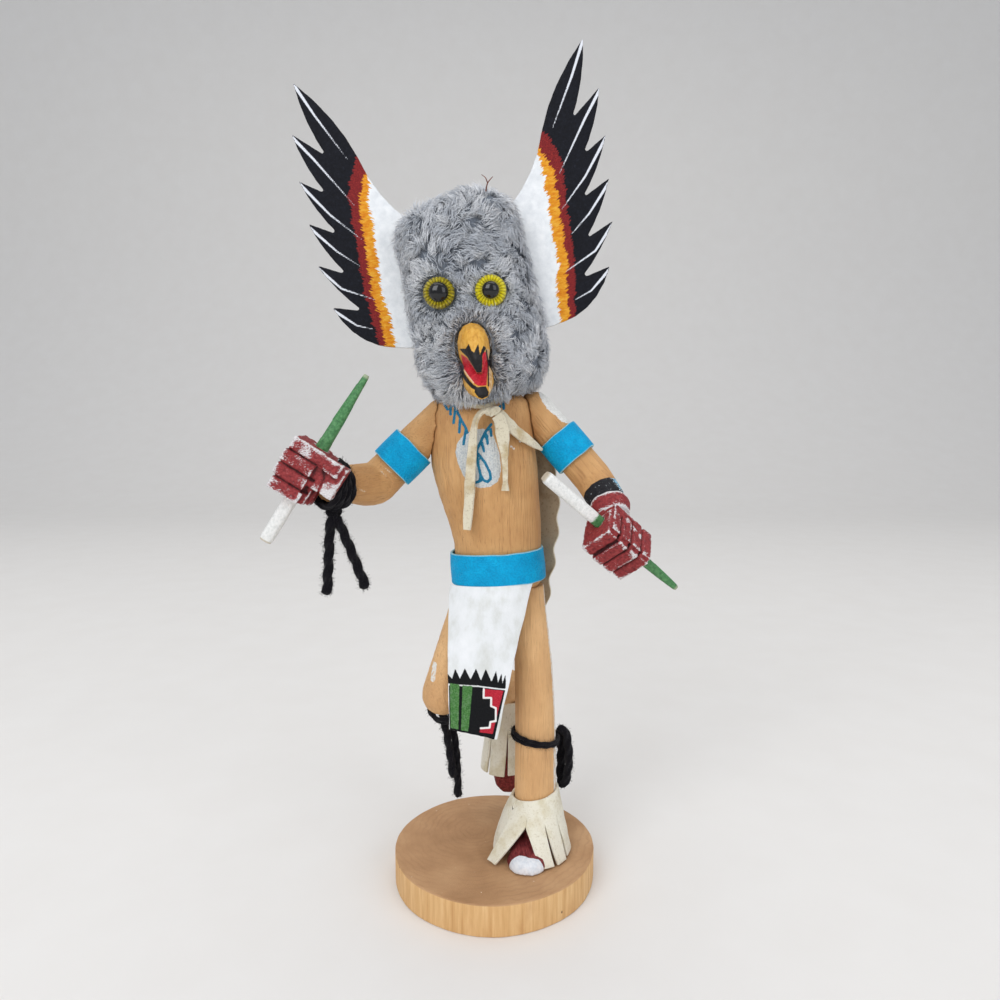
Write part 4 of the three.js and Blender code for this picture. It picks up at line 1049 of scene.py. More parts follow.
bright_iris = plastic("bright yellow plastic", [(0.3, tint(196, 176, 4)), (0.5, tint(226, 214, 10)), (0.7, tint(240, 232, 40))], 0.28, groove_shade=tint(120, 104, 6))
amber_iris = plastic("amber plastic", [(0.3, tint(120, 104, 8)), (0.5, tint(176, 160, 14)), (0.7, tint(216, 204, 40))], 0.28, groove_shade=tint(54, 44, 8))
pupil_gloss = plastic("black dome", [(0.35, tint(3, 3, 4)), (0.7, tint(10, 10, 12))], 0.07)
pupil_gloss.shader.inputs["Specular IOR Level"].default_value = 0.3
for side, centre, iris, wide in (("viewer_left", (-12.7, -26.2, 43.7), amber_iris, 3.95),
                                 ("viewer_right", (8.1, -26.4, 41.5), bright_iris, 3.5)):
    ring = turned("eye_ring_" + side, [(0.4, -1.9), (6.3, -1.9), (6.4, 0.4), (6.3, 1.0), (6.0, 1.5), (5.3, 2.2), (4.7, 2.5),
                                       (4.2, 2.5), (3.4, 2.2), (0.4, 2.0)], FLUTES * 4)
    where, facing = points_of(ring)
    radius, angle = np.hypot(where[:, 0], where[:, 1]), np.arctan2(where[:, 1], where[:, 0])
    flute = np.where((radius > 3.9) & (radius < 6.35) & (where[:, 2] > 0.6), 0.5 + 0.5 * np.cos(FLUTES * angle), 0)
    where[:, 2] -= 0.75 * flute * np.sin(np.clip((radius - 3.6) / 2.9, 0, 1) * pi) ** 0.5
    # The painted shade is strongest deep in each flute, at the outer rim and round the foot of the pupil.
    rim = np.clip((radius - 5.7) / 0.8, 0, 1) + np.clip((4.5 - radius) / 0.6, 0, 1) * (radius > 3)
    add_field(ring, "groove_shade", np.clip(0.62 * flute ** 2 + 0.55 * rim, 0, 1))
    dome = turned("eye_pupil_" + side, [(0.4, 0.6), (wide, 0.6), (wide, 2.6), (wide * 0.97, 3.2), (wide * 0.88, 3.85), (wide * 0.72, 4.45),
                                        (wide * 0.5, 4.85), (wide * 0.25, 5.08)], 48)
    for piece, spots, finish in ((ring, where, iris), (dome, points_of(dome)[0], pupil_gloss)):
        # The eye looks along the mask's -Y.
        looking = np.stack([spots[:, 0], -spots[:, 2], spots[:, 1]], axis=1) + np.array(centre)
        set_points(piece, from_mask(looking))
        if piece is ring:
            settle(piece, finish, ["right_eye" if "left" in side else "left_eye"], 32)
        else:
            settle(piece, finish, (), 60)

# %% [markdown]
# ## The fists
# The fists are blocky carvings, with square cuts for the fingers. They are painted dark red, and
# white was dragged over the raised corners with a nearly dry brush. The raised places are found by
# comparing the carving with a much smoother copy of itself: what stands out is what a brush hits.
# %% Fists


def unit_way(way):
    return np.array(way, float) / np.linalg.norm(way)


def fist_finish(name):
    made = Finish(name, 0.6)
    made.shader.inputs["Specular IOR Level"].default_value = 0.35
    here = made.place()
    base = made.noise(here, 0.9, 4, 0.65)
    red = made.steps(base, (0.28, tint(92, 24, 30)), (0.5, tint(140, 44, 46)), (0.7, tint(164, 64, 64)))
    drag = made.noise(made.place(stretch=(0.9, 0.9, 0.42)), 1, 5, 0.78)
    patches = made.noise(here, 0.16, 2)
    reach = made.math("ADD", made.math("MULTIPLY", made.field("raised"), 0.8),
                      made.math("MULTIPLY_ADD", drag, 2.0, made.math("MULTIPLY", patches, 0.9)))
    white_here = made.over(made.math("ADD", reach, made.field("rubbed")), 1.86, 1.96)
    white = made.steps(made.noise(here, 2.0, 2), (0.3, tint(190, 184, 184)), (0.65, tint(232, 230, 230)))
    colour = made.blend(white_here, red, white)
    # Painted shade: the red darkens to near black where the carving sinks in, in the finger cuts and folds.
    recess_shade = made.over(made.field("raised"), -0.2, -0.6)
    colour = made.blend(made.math("MULTIPLY", recess_shade, 0.85), colour, tint(40, 10, 14))
    made.colour(colour)
    made.bump(made.math("ADD", base, drag), 0.4, 0.7)
    return made


def raised_by(piece, rounds):
    where, facing = points_of(piece)
    edges = np.array([edge.vertices[:] for edge in piece.data.edges])
    counts = np.bincount(edges.ravel(), minlength=len(where))[:, None]
    soft = where.copy()
    for _ in range(rounds):
        total = np.zeros_like(soft)
        np.add.at(total, edges[:, 0], soft[edges[:, 1]])
        np.add.at(total, edges[:, 1], soft[edges[:, 0]])
        soft = total / counts
    return np.einsum("ij,ij->i", where - soft, facing)


def with_wrist(fist, name):
    """The lowered hand begins with a round wrist, in line with the arm."""
    end, way = np.array([49.2, -15.5, 178.0]), unit_way((3.2, -13.0, -12.5))
    path = [end + way * run for run in np.linspace(0.2, 8.0, 26)]
    rings = []
    for spot, (side, up), share in zip(path, frames_along(path, (1, 0, 0)), np.linspace(0, 1, 26)):
        reach = 8.5 * min(1, 0.93 + 1.4 * share) * (1 - 0.3 * max(0, share - 0.4))
        rings.append([spot + reach * (1 + 0.02 * cos(5 * a)) * (side * cos(a) + up * sin(a)) for a in np.linspace(0, 2 * pi, 111)[:-1]])
    wrist_block = skin("wrist_block", rings)
    pick(wrist_block, fist)
    bpy.ops.object.join()
    return named(name)


FINGERS = [[(x, -4.5), (x, 16)] for x in (-5.9, 0.2, 6.1)]
PALM_FOLD = [(-6.3, -4.6), (-3.1, -7.4), (4, -8.5), (5.7, -8.6)]
SCRATCHES = [[(-8, -6), (-3, 1)], [(-4, -8), (3, -1)], [(1, -9), (7, -3)]]
for solid, name, seed, centre, x_way, y_way, cuts, worn in (
        ("right_hand", "fist_viewer_left", 3.0, (-74.6, -35, 192.2), (-0.537, 0, -0.843), (-0.843, 0, 0.537), [PALM_FOLD],
         [(-7.5, 4, 3.3), (0, -11, 3.5)]),
        ("left_hand", "fist_viewer_right", 8.0, (51.4, -29.2, 164.7), (0.732, 0.254, -0.631), (0.11, -0.667, -0.736), SCRATCHES,
         [(0.5, -1, 2.2), (-3, -4, 1.6), (5, 2, 1.6)])):
    fist = from_solid(solid, name, 0.42, 3)
    where, facing = points_of(fist)
    first, second = unit_way(x_way), unit_way(y_way)
    palm = where - np.array(centre)
    flat = np.stack([palm @ first, palm @ second], axis=1)
    depth = np.zeros(len(where))
    for line in FINGERS:
        gap = to_line(flat, line)
        depth = np.maximum(depth, 1.25 * np.exp(-(gap / 0.5) ** 2))
    for line in cuts:
        depth = np.maximum(depth, 0.7 * np.exp(-(to_line(flat, line) / 0.45) ** 2) * (where[:, 1] < centre[1]))
    set_points(fist, where - facing * depth[:, None])
    if solid == "left_hand":
        fist = with_wrist(fist, name)
        palm = points_of(fist)[0] - np.array(centre)
        flat = np.stack([palm @ first, palm @ second], axis=1)
    add_field(fist, "rubbed", sum(0.45 * np.exp(-(np.hypot(flat[:, 0] - a, flat[:, 1] - b) / size) ** 4) for a, b, size in worn))
    roughen(fist, lambda p: 0.22 * noise.noise(p * 0.45 + Vector((seed, 0, 0))) + 0.12 * noise.noise(p * 1.4)
            - 0.35 * max(0, noise.noise(p * 0.8 + Vector((0, seed, 0))) - 0.35))
    raised = raised_by(fist, 40)
    if solid == "left_hand":
        raised *= np.where(np.linalg.norm(points_of(fist)[0] - np.array([49.6, -17.5, 176.2]), axis=1) < 9.8, 0.25, 1)
    add_field(fist, "raised", raised)
    settle(fist, fist_finish("red paint " + name), [solid], None)
    bpy.ops.object.shade_smooth()

# %% [markdown]
# ## The wands
# Each fist holds a whittled stick, white at the butt and green at the tip. The stick is squared
# off by the knife and tapers from its middle. A section with soft corners is swept along it, and
# the knife's flats are pressed into it with stepped noise.
# %% Wands


def whittled(name, butt, tip, half, shares, wander):
    path = np.linspace(butt, tip, 120)
    rings = []
    for k, (spot, (side, up)) in enumerate(zip(path, frames_along(path, (0, 1, 0)))):
        s = k / 119
        reach = half * np.interp(s, [share for share, _ in shares], [size for _, size in shares])
        ring = []
        for j in range(32):
            angle = 2 * pi * j / 32
            box = (abs(cos(angle)) ** 3.2 + abs(sin(angle)) ** 3.2) ** (-1 / 3.2)
            flat = 0.06 * noise.cell(Vector((s * 9 + wander, round(angle * 1.3), 0)))
            ring.append(spot + reach * box * (1 - flat) * (side * cos(angle) + up * sin(angle)))
        rings.append(ring)
    piece = skin(name, rings)
    where, _ = points_of(piece)
    way = np.array(tip, float) - np.array(butt, float)
    add_field(piece, "run", (where - np.array(butt, float)) @ way / (way @ way))
    return piece


def wand_finish(name, meet):
    made = Finish(name, 0.45)
    here = made.place()
    shaken = made.math("MULTIPLY_ADD", made.noise(here, 1.1, 3), 0.03, made.field("run"))
    strokes = made.noise(here, 0.9, 4, 0.65)
    green = made.steps(strokes, (0.3, tint(40, 92, 50)), (0.5, tint(66, 126, 72)), (0.72, tint(98, 152, 98)))
    white = made.steps(strokes, (0.3, tint(208, 210, 206)), (0.6, tint(236, 236, 232)))
    colour = made.blend(made.over(shaken, meet + 0.01, meet + 0.02), white, green)
    colour = made.blend(made.over(made.field("run"), 0.978, 0.99), colour, tint(150, 164, 132))
    colour = made.blend(made.over(made.field("run"), 0.012, 0.004), colour, tint(190, 180, 160))
    chips = made.over(made.noise(here, 0.7, 4, 0.7), 0.68, 0.71)
    colour = made.blend(made.math("MULTIPLY", chips, 0.7), colour, tint(170, 150, 116))
    made.colour(colour)
    made.bump(strokes, 0.3, 0.45)
    return made


for solid, butt, tip, half, meet, shares in (
        ("right_wand", (-92.5, -35, 164.8), (-50.2, -35, 231.2), 2.65, 0.37,
         [(0, 0.85), (0.02, 1), (0.42, 1.04), (0.72, 0.86), (0.94, 0.55), (0.99, 0.46), (1, 0.36)]),
        ("left_wand", (20.4, -40, 191.5), (78.1, -20, 141.8), 2.55, 0.35,
         [(0, 0.8), (0.02, 1), (0.42, 1), (0.72, 0.9), (0.94, 0.62), (0.99, 0.5), (1, 0.34)])):
    wand = whittled(solid + "_whittled", butt, tip, half, shares, half * 7)
    settle(wand, wand_finish("paint " + solid, meet), [solid], 35)

# %% [markdown]
# ## Turquoise leather bands
# The belt and the two armbands are strips of dyed leather, glued into rings. A circle is set to the
# ring's outline and extruded upwards in steps, and a solidify modifier gives it its thickness. The
# dye stops at the surface, so the cut edges are paler: solidify gives its rim a second finish.
# %% Leather bands
turquoise = Finish("turquoise leather", 0.55)
turquoise.shader.inputs["Specular IOR Level"].default_value = 0.15
here = turquoise.place()
pebbles = turquoise.node("TexVoronoi", {"Vector": here, "Scale": 1.25}, out="Distance", feature="F1")
drift = turquoise.noise(turquoise.place(stretch=(6, 6, 6)), 1, 3)
colour = turquoise.steps(drift, (0.3, tint(0, 150, 200)), (0.55, tint(0, 163, 214)), (0.75, tint(8, 176, 224)))
creases = turquoise.over(pebbles, 0.45, 0.75)
colour = turquoise.blend(turquoise.math("MULTIPLY", creases, 0.3), colour, tint(0, 122, 172))
rubs = turquoise.over(turquoise.noise(here, 0.55, 5, 0.75), 0.62, 0.76)
colour = turquoise.blend(turquoise.math("MULTIPLY", rubs, 0.22), colour, tint(120, 196, 218))
turquoise.colour(colour)
turquoise.bump(turquoise.math("MULTIPLY_ADD", turquoise.noise(here, 2.2, 3), 0.4, pebbles), -0.45, 0.8)
pale_edge = suede("pale cut edge of dyed leather", tint(146, 200, 214), tint(110, 178, 200), tint(60, 150, 184))


def leather_ring(name, outline, height, wall, place, waver=0.25, steps=8):
    """An open ring: outline gives (x, y) for an angle, place is a matrix in millimetres."""
    sides = 144
    bpy.ops.mesh.primitive_circle_add(vertices=sides, radius=MM)
    piece = named(name)
    for k, vertex in enumerate(piece.data.vertices):
        x, y = outline(2 * pi * k / sides)
        vertex.co = mm(x, y, -height / 2)
    pick(piece)
    bpy.ops.object.mode_set(mode="EDIT")
    bpy.ops.mesh.select_all(action="SELECT")
    for _ in range(steps):
        bpy.ops.mesh.extrude_region_move(TRANSFORM_OT_translate={"value": mm(0, 0, height / steps)})
    bpy.ops.mesh.select_all(action="SELECT")
    bpy.ops.mesh.normals_make_consistent(inside=False)
    bpy.ops.object.mode_set(mode="OBJECT")
    where, facing = points_of(piece)
    for spot in where:
        share = spot[2] / (height / 2)
        spot[2] += share * waver * noise.noise(Vector((spot[0] * 0.16, spot[1] * 0.16, 2 + (share > 0))))
    bulge = 0.10 * (1 - (2 * where[:, 2] / height) ** 2)
    set_points(piece, where + facing * bulge[:, None])
    wall_maker = piece.modifiers.new("wall", "SOLIDIFY")
    wall_maker.thickness, wall_maker.offset, wall_maker.material_offset_rim = wall * MM, 1, 1
    for material in (None, None):
        piece.data.materials.append(material)
    soften = piece.modifiers.new("soft edges", "BEVEL")
    soften.width, soften.segments, soften.limit_method = 0.4 * MM, 3, "ANGLE"
    apply_all(piece)
    for face in piece.data.polygons:
        if abs(face.center.z) > (height / 2 - 0.5) * MM:
            face.material_index = 1
    place_mm = place.copy()
    place_mm.translation = place.translation * MM
    piece.data.transform(place_mm)
    return piece


def squared(half_width, half_depth, power):
    def outline(angle):
        c, s = cos(angle), sin(angle)
        return (half_width * math.copysign(abs(c) ** (2 / power), c), half_depth * math.copysign(abs(s) ** (2 / power), s))
    return outline


def even_angles(outline, fine=2000):
    """The same outline walked at an even pace, so its quads are all the same width."""
    spots = np.array([outline(2 * pi * k / fine) for k in range(fine + 1)])
    run = np.r_[0, np.cumsum(np.linalg.norm(np.diff(spots, axis=0), axis=1))]

    def walk(angle):
        at = angle / (2 * pi) * run[-1]
        return float(np.interp(at, run, spots[:, 0])), float(np.interp(at, run, spots[:, 1]))
    return walk


belt_place = (Matrix.Translation((1.6, 0, 148.5)) @ Matrix.Rotation(radians(-4), 4, "Y") @ Matrix.Rotation(radians(-10), 4, "Z"))
belt = leather_ring("belt", even_angles(squared(20.2, 15.7, 2.3)), 14, 1.15, belt_place, 0.3)
where, facing = points_of(belt)
rise = np.clip((where[:, 2] - 148.5) / 7, -1, 1)[:, None]
set_points(belt, np.concatenate([where[:, :2] * (1 - 0.018 * np.clip(rise, 0, 1)), where[:, 2:]], axis=1))
settle(belt, [turquoise, pale_edge], ["belt"], 50)

for name, solid, shoulder, elbow, part, radii in (
        ("armband_bent", "right_armband", (-22, 1, 215.5), (-52, -4, 185.8), 0.62, (8.4, 9.3)),
        ("armband_lowered", "left_armband", (18, 0.5, 218), (43.4, -6, 188), 0.56, (8.2, 8.4))):
    inner = radii[0] + (radii[1] - radii[0]) * part + 0.42
    start, end = Vector(shoulder), Vector(elbow)
    place = Matrix.Translation(start.lerp(end, part)) @ (end - start).normalized().to_track_quat("Z", "Y").to_matrix().to_4x4()
    band = leather_ring(name, lambda a, r=inner: (r * cos(a), r * sin(a)), 14, 1.15, place, 0.35)
    settle(band, [turquoise, pale_edge], [solid], 50)

# %% [markdown]
# ## The apron
# A piece of white leather is tucked under the belt. It is cut straight on one side and on a slant
# on the other, and its hem is painted with a row of black teeth over a block of green, black and
# red. A flat grid is placed row by row along the hanging surface, then given its thickness.
# %% Apron


def placed_grid(name, columns, rows, place, thickness, edge_bevel=0.15):
    """place(across, down) gives a spot in millimetres."""
    bpy.ops.mesh.primitive_grid_add(x_subdivisions=columns, y_subdivisions=rows, size=1)
    piece = named(name)
    where = points_of(piece)[0] * MM
    across, down = where[:, 0] + 0.5, 0.5 - where[:, 1]
    set_points(piece, np.array([place(a, d) for a, d in zip(across, down)]))
    pick(piece)
    wall = piece.modifiers.new("thickness", "SOLIDIFY")
    wall.thickness, wall.offset, wall.material_offset_rim = thickness * MM, 0, 1
    for material in (None, None):
        piece.data.materials.append(material)
    if edge_bevel:
        soften = piece.modifiers.new("soft edges", "BEVEL")
        soften.width, soften.segments, soften.limit_method = edge_bevel * MM, 2, "ANGLE"
    apply_all(piece)
    return piece


def apron_spot(across, down):
    left = -19.5 - 0.6 * sin(pi * down) + 0.25 * noise.noise(Vector((down * 6, 0, 1)))
    right = 16.8 - 15.5 * down ** 0.9 + 0.3 * noise.noise(Vector((down * 7, 0, 4)))
    x = left + (right - left) * across
    top, bottom = 141.7 + 0.07 * (x - 1.6), 79.6 - 4.5 * across + 0.35 * noise.noise(Vector((across * 6, 3, 0)))
    z = top - (top - bottom) * down
    curl = (1 - down) ** 1.5
    bow = 6.5 * (2 * across - 1) ** 2
    turn = sin(radians(-10)) * (x - 1.5)
    y = -18.2 - 4 * down + (bow + turn) * curl + 1.2 * max(0, 1 - down * 12)
    y += 0.35 * down * sin(across * 5 + 1) + 0.5 * noise.noise(Vector((across * 2.2, down * 2.4, 7)))
    return x, y, z


apron = placed_grid("apron", 70, 110, apron_spot, 1.1)


def on_apron(*marks):
    return [(apron_spot(a, d)[0], apron_spot(a, d)[2]) for a, d in marks]


TEETH = [(0.0, 0.61), (0.07, 0.638), (0.113, 0.562), (0.197, 0.626), (0.267, 0.551), (0.368, 0.625), (0.441, 0.546),
         (0.538, 0.626), (0.592, 0.544), (0.709, 0.629), (0.759, 0.554), (0.815, 0.632), (0.85, 0.561), (0.885, 0.636),
         (0.912, 0.57), (0.95, 0.642)]
APRON_MARKS = {
    "teeth": [(-0.05, 0.61)] + TEETH + [(0.955, 0.668), (0.5, 0.661), (-0.05, 0.676)],
    "block": [(0.012, 0.686), (0.5, 0.670), (0.955, 0.676), (0.945, 1.05), (0.015, 1.05)],
    "green_left": [(0.03, 0.67), (0.19, 0.67), (0.19, 0.985), (0.03, 0.985)],
    "green_right": [(0.245, 0.67), (0.41, 0.668), (0.395, 0.985), (0.245, 0.985)],
    "terrace": [(0.56, 0.66), (0.601, 0.679), (0.621, 0.74), (0.752, 0.735), (0.777, 0.79), (0.867, 0.796), (0.898, 0.879),
                (0.799, 0.894), (0.804, 0.932), (0.629, 0.947), (0.60, 1.02), (1.2, 1.02), (1.2, 0.66)],
    "red_area": [(0.60, 0.679), (0.621, 0.74), (0.752, 0.735), (0.777, 0.79), (0.867, 0.796), (0.898, 0.879),
                 (0.799, 0.894), (0.804, 0.932), (0.629, 0.947), (0.62, 0.975), (0.885, 0.965), (0.888, 0.917),
                 (0.92, 0.79), (0.93, 0.679)],
}
where, facing = points_of(apron)
flat = where[:, [0, 2]]
for field, outline in APRON_MARKS.items():
    add_field(apron, field, inside(flat, on_apron(*outline)))
terrace_line = on_apron(*APRON_MARKS["red_area"][:9])
add_field(apron, "white_line", 0.42 - to_line(flat, terrace_line))
add_field(apron, "front_side", np.where(facing[:, 1] < 0.2, 1.0, -1.0))

apron_leather = Finish("white leather with a painted hem", 0.58)
apron_leather.shader.inputs["Specular IOR Level"].default_value = 0.15
here = apron_leather.place()
grain = apron_leather.noise(here, 1.9, 4, 0.65)
soil = apron_leather.noise(apron_leather.place(stretch=(9, 9, 16)), 1, 4, 0.6)
white = apron_leather.steps(soil, (0.3, tint(206, 208, 202)), (0.52, tint(228, 231, 231)), (0.72, tint(238, 240, 241)))
smudge = apron_leather.over(apron_leather.noise(here, 0.5, 4, 0.7), 0.5, 0.75)
green = apron_leather.steps(grain, (0.3, tint(46, 92, 44)), (0.5, tint(70, 120, 60)), (0.7, tint(102, 144, 90)))
green = apron_leather.blend(apron_leather.math("MULTIPLY", smudge, 0.35), green, tint(150, 172, 146))
black = apron_leather.steps(grain, (0.3, tint(6, 7, 9)), (0.7, tint(20, 21, 24)))
red = apron_leather.steps(grain, (0.3, tint(156, 28, 44)), (0.6, tint(188, 42, 58)), (0.8, tint(206, 90, 96)))
front = apron_leather.over(apron_leather.field("front_side"), -0.1, 0.1)


def hem_mark(field, wobble=0.12, scale=1.2, edge=0.1):
    return apron_leather.math("MULTIPLY", front, apron_leather.mark(field, here, wobble, scale, edge))


colour = apron_leather.blend(hem_mark("teeth", 0.16), white, black)
colour = apron_leather.blend(hem_mark("block"), colour, black)
colour = apron_leather.blend(hem_mark("green_left", 0.3), colour, green)
colour = apron_leather.blend(hem_mark("green_right", 0.3), colour, green)
colour = apron_leather.blend(hem_mark("red_area", 0.2), colour, red)
colour = apron_leather.blend(hem_mark("white_line", 0.1), colour, tint(232, 230, 226))
apron_leather.colour(colour)
apron_leather.bump(apron_leather.math("MULTIPLY_ADD", soil, 0.6, grain), 0.3, 0.45)
white_edge = suede("cut edge of white leather", tint(226, 224, 214), tint(206, 200, 182), tint(180, 172, 150))
settle(apron, [apron_leather, white_edge], ["front_apron"], 50)

# %% [markdown]
# ## The hide down the back
# A soft brown hide hangs from the neck behind the doll. It is gathered at the top, falls in shallow
# folds, and its edge was cut in waves, so it shows a pale rim. It is the same kind of grid as the
# apron, with the folds put into the function that places it.
# %% Hide


def hide_spot(across, down):
    side = 2 * across - 1
    wave = 0.85 * sin(38.2 * down + 4.07) + 0.5 * noise.noise(Vector((down * 9, side > 0, 4)))
    half = (34 * (1 - 0.68 * (1 - down) ** 4) - 13 * down) * (0.84 if side < 0 else 1) + wave * min(1, abs(side) ** 3 + 0.02)
    x = 3.8 + side * half
    folds = 0.9 * sin(across * 4 * pi) * down + 0.6 * noise.noise(Vector((across * 3, down * 2, 2)))
    turn = sin(radians(-10)) * side * half
    bottom = 124 + 0.8 * sin(across * 19)
    return x, 18.9 + 1.6 * down + folds + turn - 3 * side ** 4, 214 + (bottom - 214) * down


hide = placed_grid("back_hide", 60, 100, hide_spot, 1.2)
hide_finish = suede("brown suede", tint(176, 160, 134), tint(150, 130, 102), tint(118, 100, 76), 1.2)
hide_edge = suede("pale edge of the hide", tint(216, 208, 186), tint(196, 184, 156), tint(170, 154, 124))
settle(hide, [hide_finish, hide_edge], ["cape"], 50)

# %% [markdown]
# ## The fringed ankle cuffs
# Each cuff is a strip of cream suede round the ankle, flared over the foot and cut into a fringe,
# with a V at the front where the moccasin shows. The strips between two cuts are made one by one
# as grids that share their upper part, and merging the doubles joins them above the cuts.
# %% Ankle cuffs


def fringed_cuff(name, upper, lower, slits, lift, columns=14, rows=26):
    """upper and lower: centre, radius and tilt. slits: bearing, start of the cut, width at the hem, slant."""
    slits = sorted(slits)
    (uc, ur, tilt), (lc, lr, _) = upper, lower
    pieces = []
    for k, (bearing, start, width, slant) in enumerate(slits):
        after = slits[(k + 1) % len(slits)]
        sweep = (after[0] - bearing) % 360
        count = max(5, round(sweep / 5))
        bpy.ops.mesh.primitive_grid_add(x_subdivisions=count, y_subdivisions=rows, size=1)
        strip = named(f"{name}_strip_{k}")
        where = points_of(strip)[0] * MM
        spots = []
        length = 1 + 0.05 * noise.noise(Vector((k * 3.3, len(name), 0)))
        for u, v in zip(where[:, 0] + 0.5, 0.5 - where[:, 1]):
            s = v * (length if v > 0.4 else 1)
            r = ur + (lr - ur) * s
            left_gap = max(0, (s - start) / (1 - start)) * width / 2 / r
            right_gap = max(0, (s - after[1]) / (1 - after[1])) * after[2] / 2 / r
            left = radians(bearing + slant * (1 - s)) + left_gap
            right = radians(bearing + sweep + after[3] * (1 - s)) - right_gap
            a = left + (right - left) * u
            centre = np.array(uc) * (1 - s) + np.array(lc) * s
            free = max(0, s - 0.4)
            out = r + lift(k, u, s) + 0.3 * noise.noise(Vector((a * 3, s * 4, k * free)))
            z = centre[2] + tilt * cos(a) * (1 - s)
            spots.append((centre[0] + out * cos(a), centre[1] + out * sin(a), z))
        set_points(strip, spots)
        pieces.append(strip)
    pick(*pieces)
    bpy.ops.object.join()
    cuff = named(name)
    bpy.ops.object.mode_set(mode="EDIT")
    bpy.ops.mesh.select_all(action="SELECT")
    bpy.ops.mesh.remove_doubles(threshold=0.12 * MM)
    bpy.ops.mesh.normals_make_consistent(inside=False)
    bpy.ops.object.mode_set(mode="OBJECT")
    wall = cuff.modifiers.new("thickness", "SOLIDIFY")
    wall.thickness, wall.offset = 1.15 * MM, 1
    soften = cuff.modifiers.new("soft edges", "BEVEL")
    soften.width, soften.segments, soften.limit_method, soften.angle_limit = 0.2 * MM, 2, "ANGLE", radians(50)
    apply_all(cuff)
    return cuff


def front_lift(k, u, s):
    return 1.2 * max(0, s - 0.5) * sin(k * 2.4 + 1) + 0.5 * (2 * u - 1) ** 2 * max(0, s - 0.35)


def loose_lift(k, u, s):
    """The strip left of the V flares out; the ones at the right and behind hang in."""
    return front_lift(k, u, s) + (1.5, 0, 0, -1.2, -2.4, -1.5, -4.5)[k] * s * s


left_cuff = fringed_cuff("cuff_standing", ((19, 0, 40.6), 9.8, 2.2), ((15.5, -4, 15.4), 19.4, 0),
                         [(-105, 0.4, 19, 2), (-53, 0.36, 1.8, -26), (-29, 0.35, 1.8, -18), (-2, 0.4, 1.6, 0), (60, 0.4, 1.6, 0),
                          (130, 0.4, 1.6, 0), (-150, 0.42, 1.8, 8)], loose_lift)
settle(left_cuff, cuff_finish, ["left_cuff"], 50)
right_cuff = fringed_cuff("cuff_bent", ((7.2, 31.5, 74.4), 9.3, 0), ((5.6, 31, 37.8), 11.2, 0),
                          [(-32, 0.42, 14, 0), (-90, 0.4, 1.4, 0), (-135, 0.4, 1.4, 0), (110, 0.4, 1.4, 0)], front_lift, rows=34)
settle(right_cuff, cuff_finish, ["right_cuff"], 50)

# %% [markdown]
# ## The lace round the neck and its knot
# A cream suede lace comes out from under the fur, crosses the chest and is tied in front. One end
# runs on to the armpit. The lace is the same swept strip as its hanging ends, stood on edge, and the
# knot is three soft lumps that a voxel remesh melts together.
# %% Neck lace
collar_route = [(-3.4 + 21 * cos(radians(a)), 16.6 * sin(radians(a)), 218.6 + (5.0 * (abs(a + 88) / 58) ** 1.5 if a < -88 else 7.5 * min(1, (a + 88) / 20)))
                for a in (-146, -125, -105, -85, -65, -50, -40)]
collar = lace_skin("neck_lace", path_through(collar_route, 90), [0.9, 1.2, 1.6, 1.9, 2.2, 1.6, 1.0], 1.2, [0, 6, -6, 4, 0], 0.2, (0, 0, 1))
settle(collar, lace_finish, ["tie_collar"])
strap_route = [(2.4, -19.0, 216.6), (3.4, -18.4, 215.2), (7.5, -17.6, 210.6), (12.0, -16.2, 206.8), (17.0, -13.4, 203.2),
               (20.6, -9.8, 200.6)]
strap = lace_skin("armpit_lace", path_through(strap_route, 80), [3.6, 4.8, 5.2, 4.8, 3.2, 1.4], 1.2, [8, 0, -8, -4, 6], 0.3, (0, 0, 1))
settle(strap, lace_finish, ["tie_strap"])
lumps = []
for where, size, turn in (((-2.2, -20.0, 217.0), (2.3, 1.7, 1.9), 20), ((1.0, -20.2, 217.3), (2.1, 1.8, 2.2), -25),
                          ((-0.8, -21.3, 216.8), (1.0, 1.1, 2.3), 8)):
    bpy.ops.mesh.primitive_uv_sphere_add(segments=24, ring_count=14, radius=MM, location=mm(*where), rotation=(0, radians(turn), 0))
    bpy.context.object.scale = size
    lumps.append(bpy.context.object)
pick(*lumps)
bpy.ops.object.join()
knot = named("lace_knot")
melt = knot.modifiers.new("melt", "REMESH")
melt.mode, melt.voxel_size = "VOXEL", 0.28 * MM
apply_all(knot)
roughen(knot, lambda p: 0.35 * noise.noise(p * 0.8) - 0.35 * max(0, 0.25 - abs(noise.noise(p * 0.45))))
settle(knot, lace_finish, ["tie_knot"], None)
bpy.ops.object.shade_smooth()

# %% [markdown]
# ## Yarn tied round the wrist and the knees
# The wrist has three turns of wool side by side, with a knot below them, and each knee has two
# turns. The same twisted skin is swept round closed paths. At the knees the path is found by
# looking outwards from the middle of the leg to the solid garter, so it follows the bent limb.
# %% Wrapped yarn
from mathutils.bvhtree import BVHTree


def joined(name, pieces):
    pick(*pieces)
    if len(pieces) > 1:
        bpy.ops.object.join()
    return named(name)


wrist = np.array([-68.6, -29.4, 187.2])
elbow = np.array([-52, -4, 185.8])
axis = (wrist - elbow) / np.linalg.norm(wrist - elbow)
centre = wrist + (elbow - wrist) * 0.12
side = np.cross(axis, (0, 0, 1))
side /= np.linalg.norm(side)
up = np.cross(axis, side)
turns = []
for k, (shift, radius) in enumerate(((-2.2, 9.35), (0.1, 9.6), (2.3, 9.5), (4.4, 8.9))):
    loop = [centre + axis * (shift + 0.5 * sin(a * 2 + k)) + (radius + 0.2 * sin(3 * a + k)) * (side * cos(a) + up * sin(a))
            for a in np.linspace(0, 2 * pi, 121)]
    turns.append(yarn_skin(f"turn_{k}", np.array(loop), 3.1, pitch=6, closed=True))
wrap = joined("wrist_yarn", turns)
settle(wrap, yarn_finish, ["wrist_wrap"])

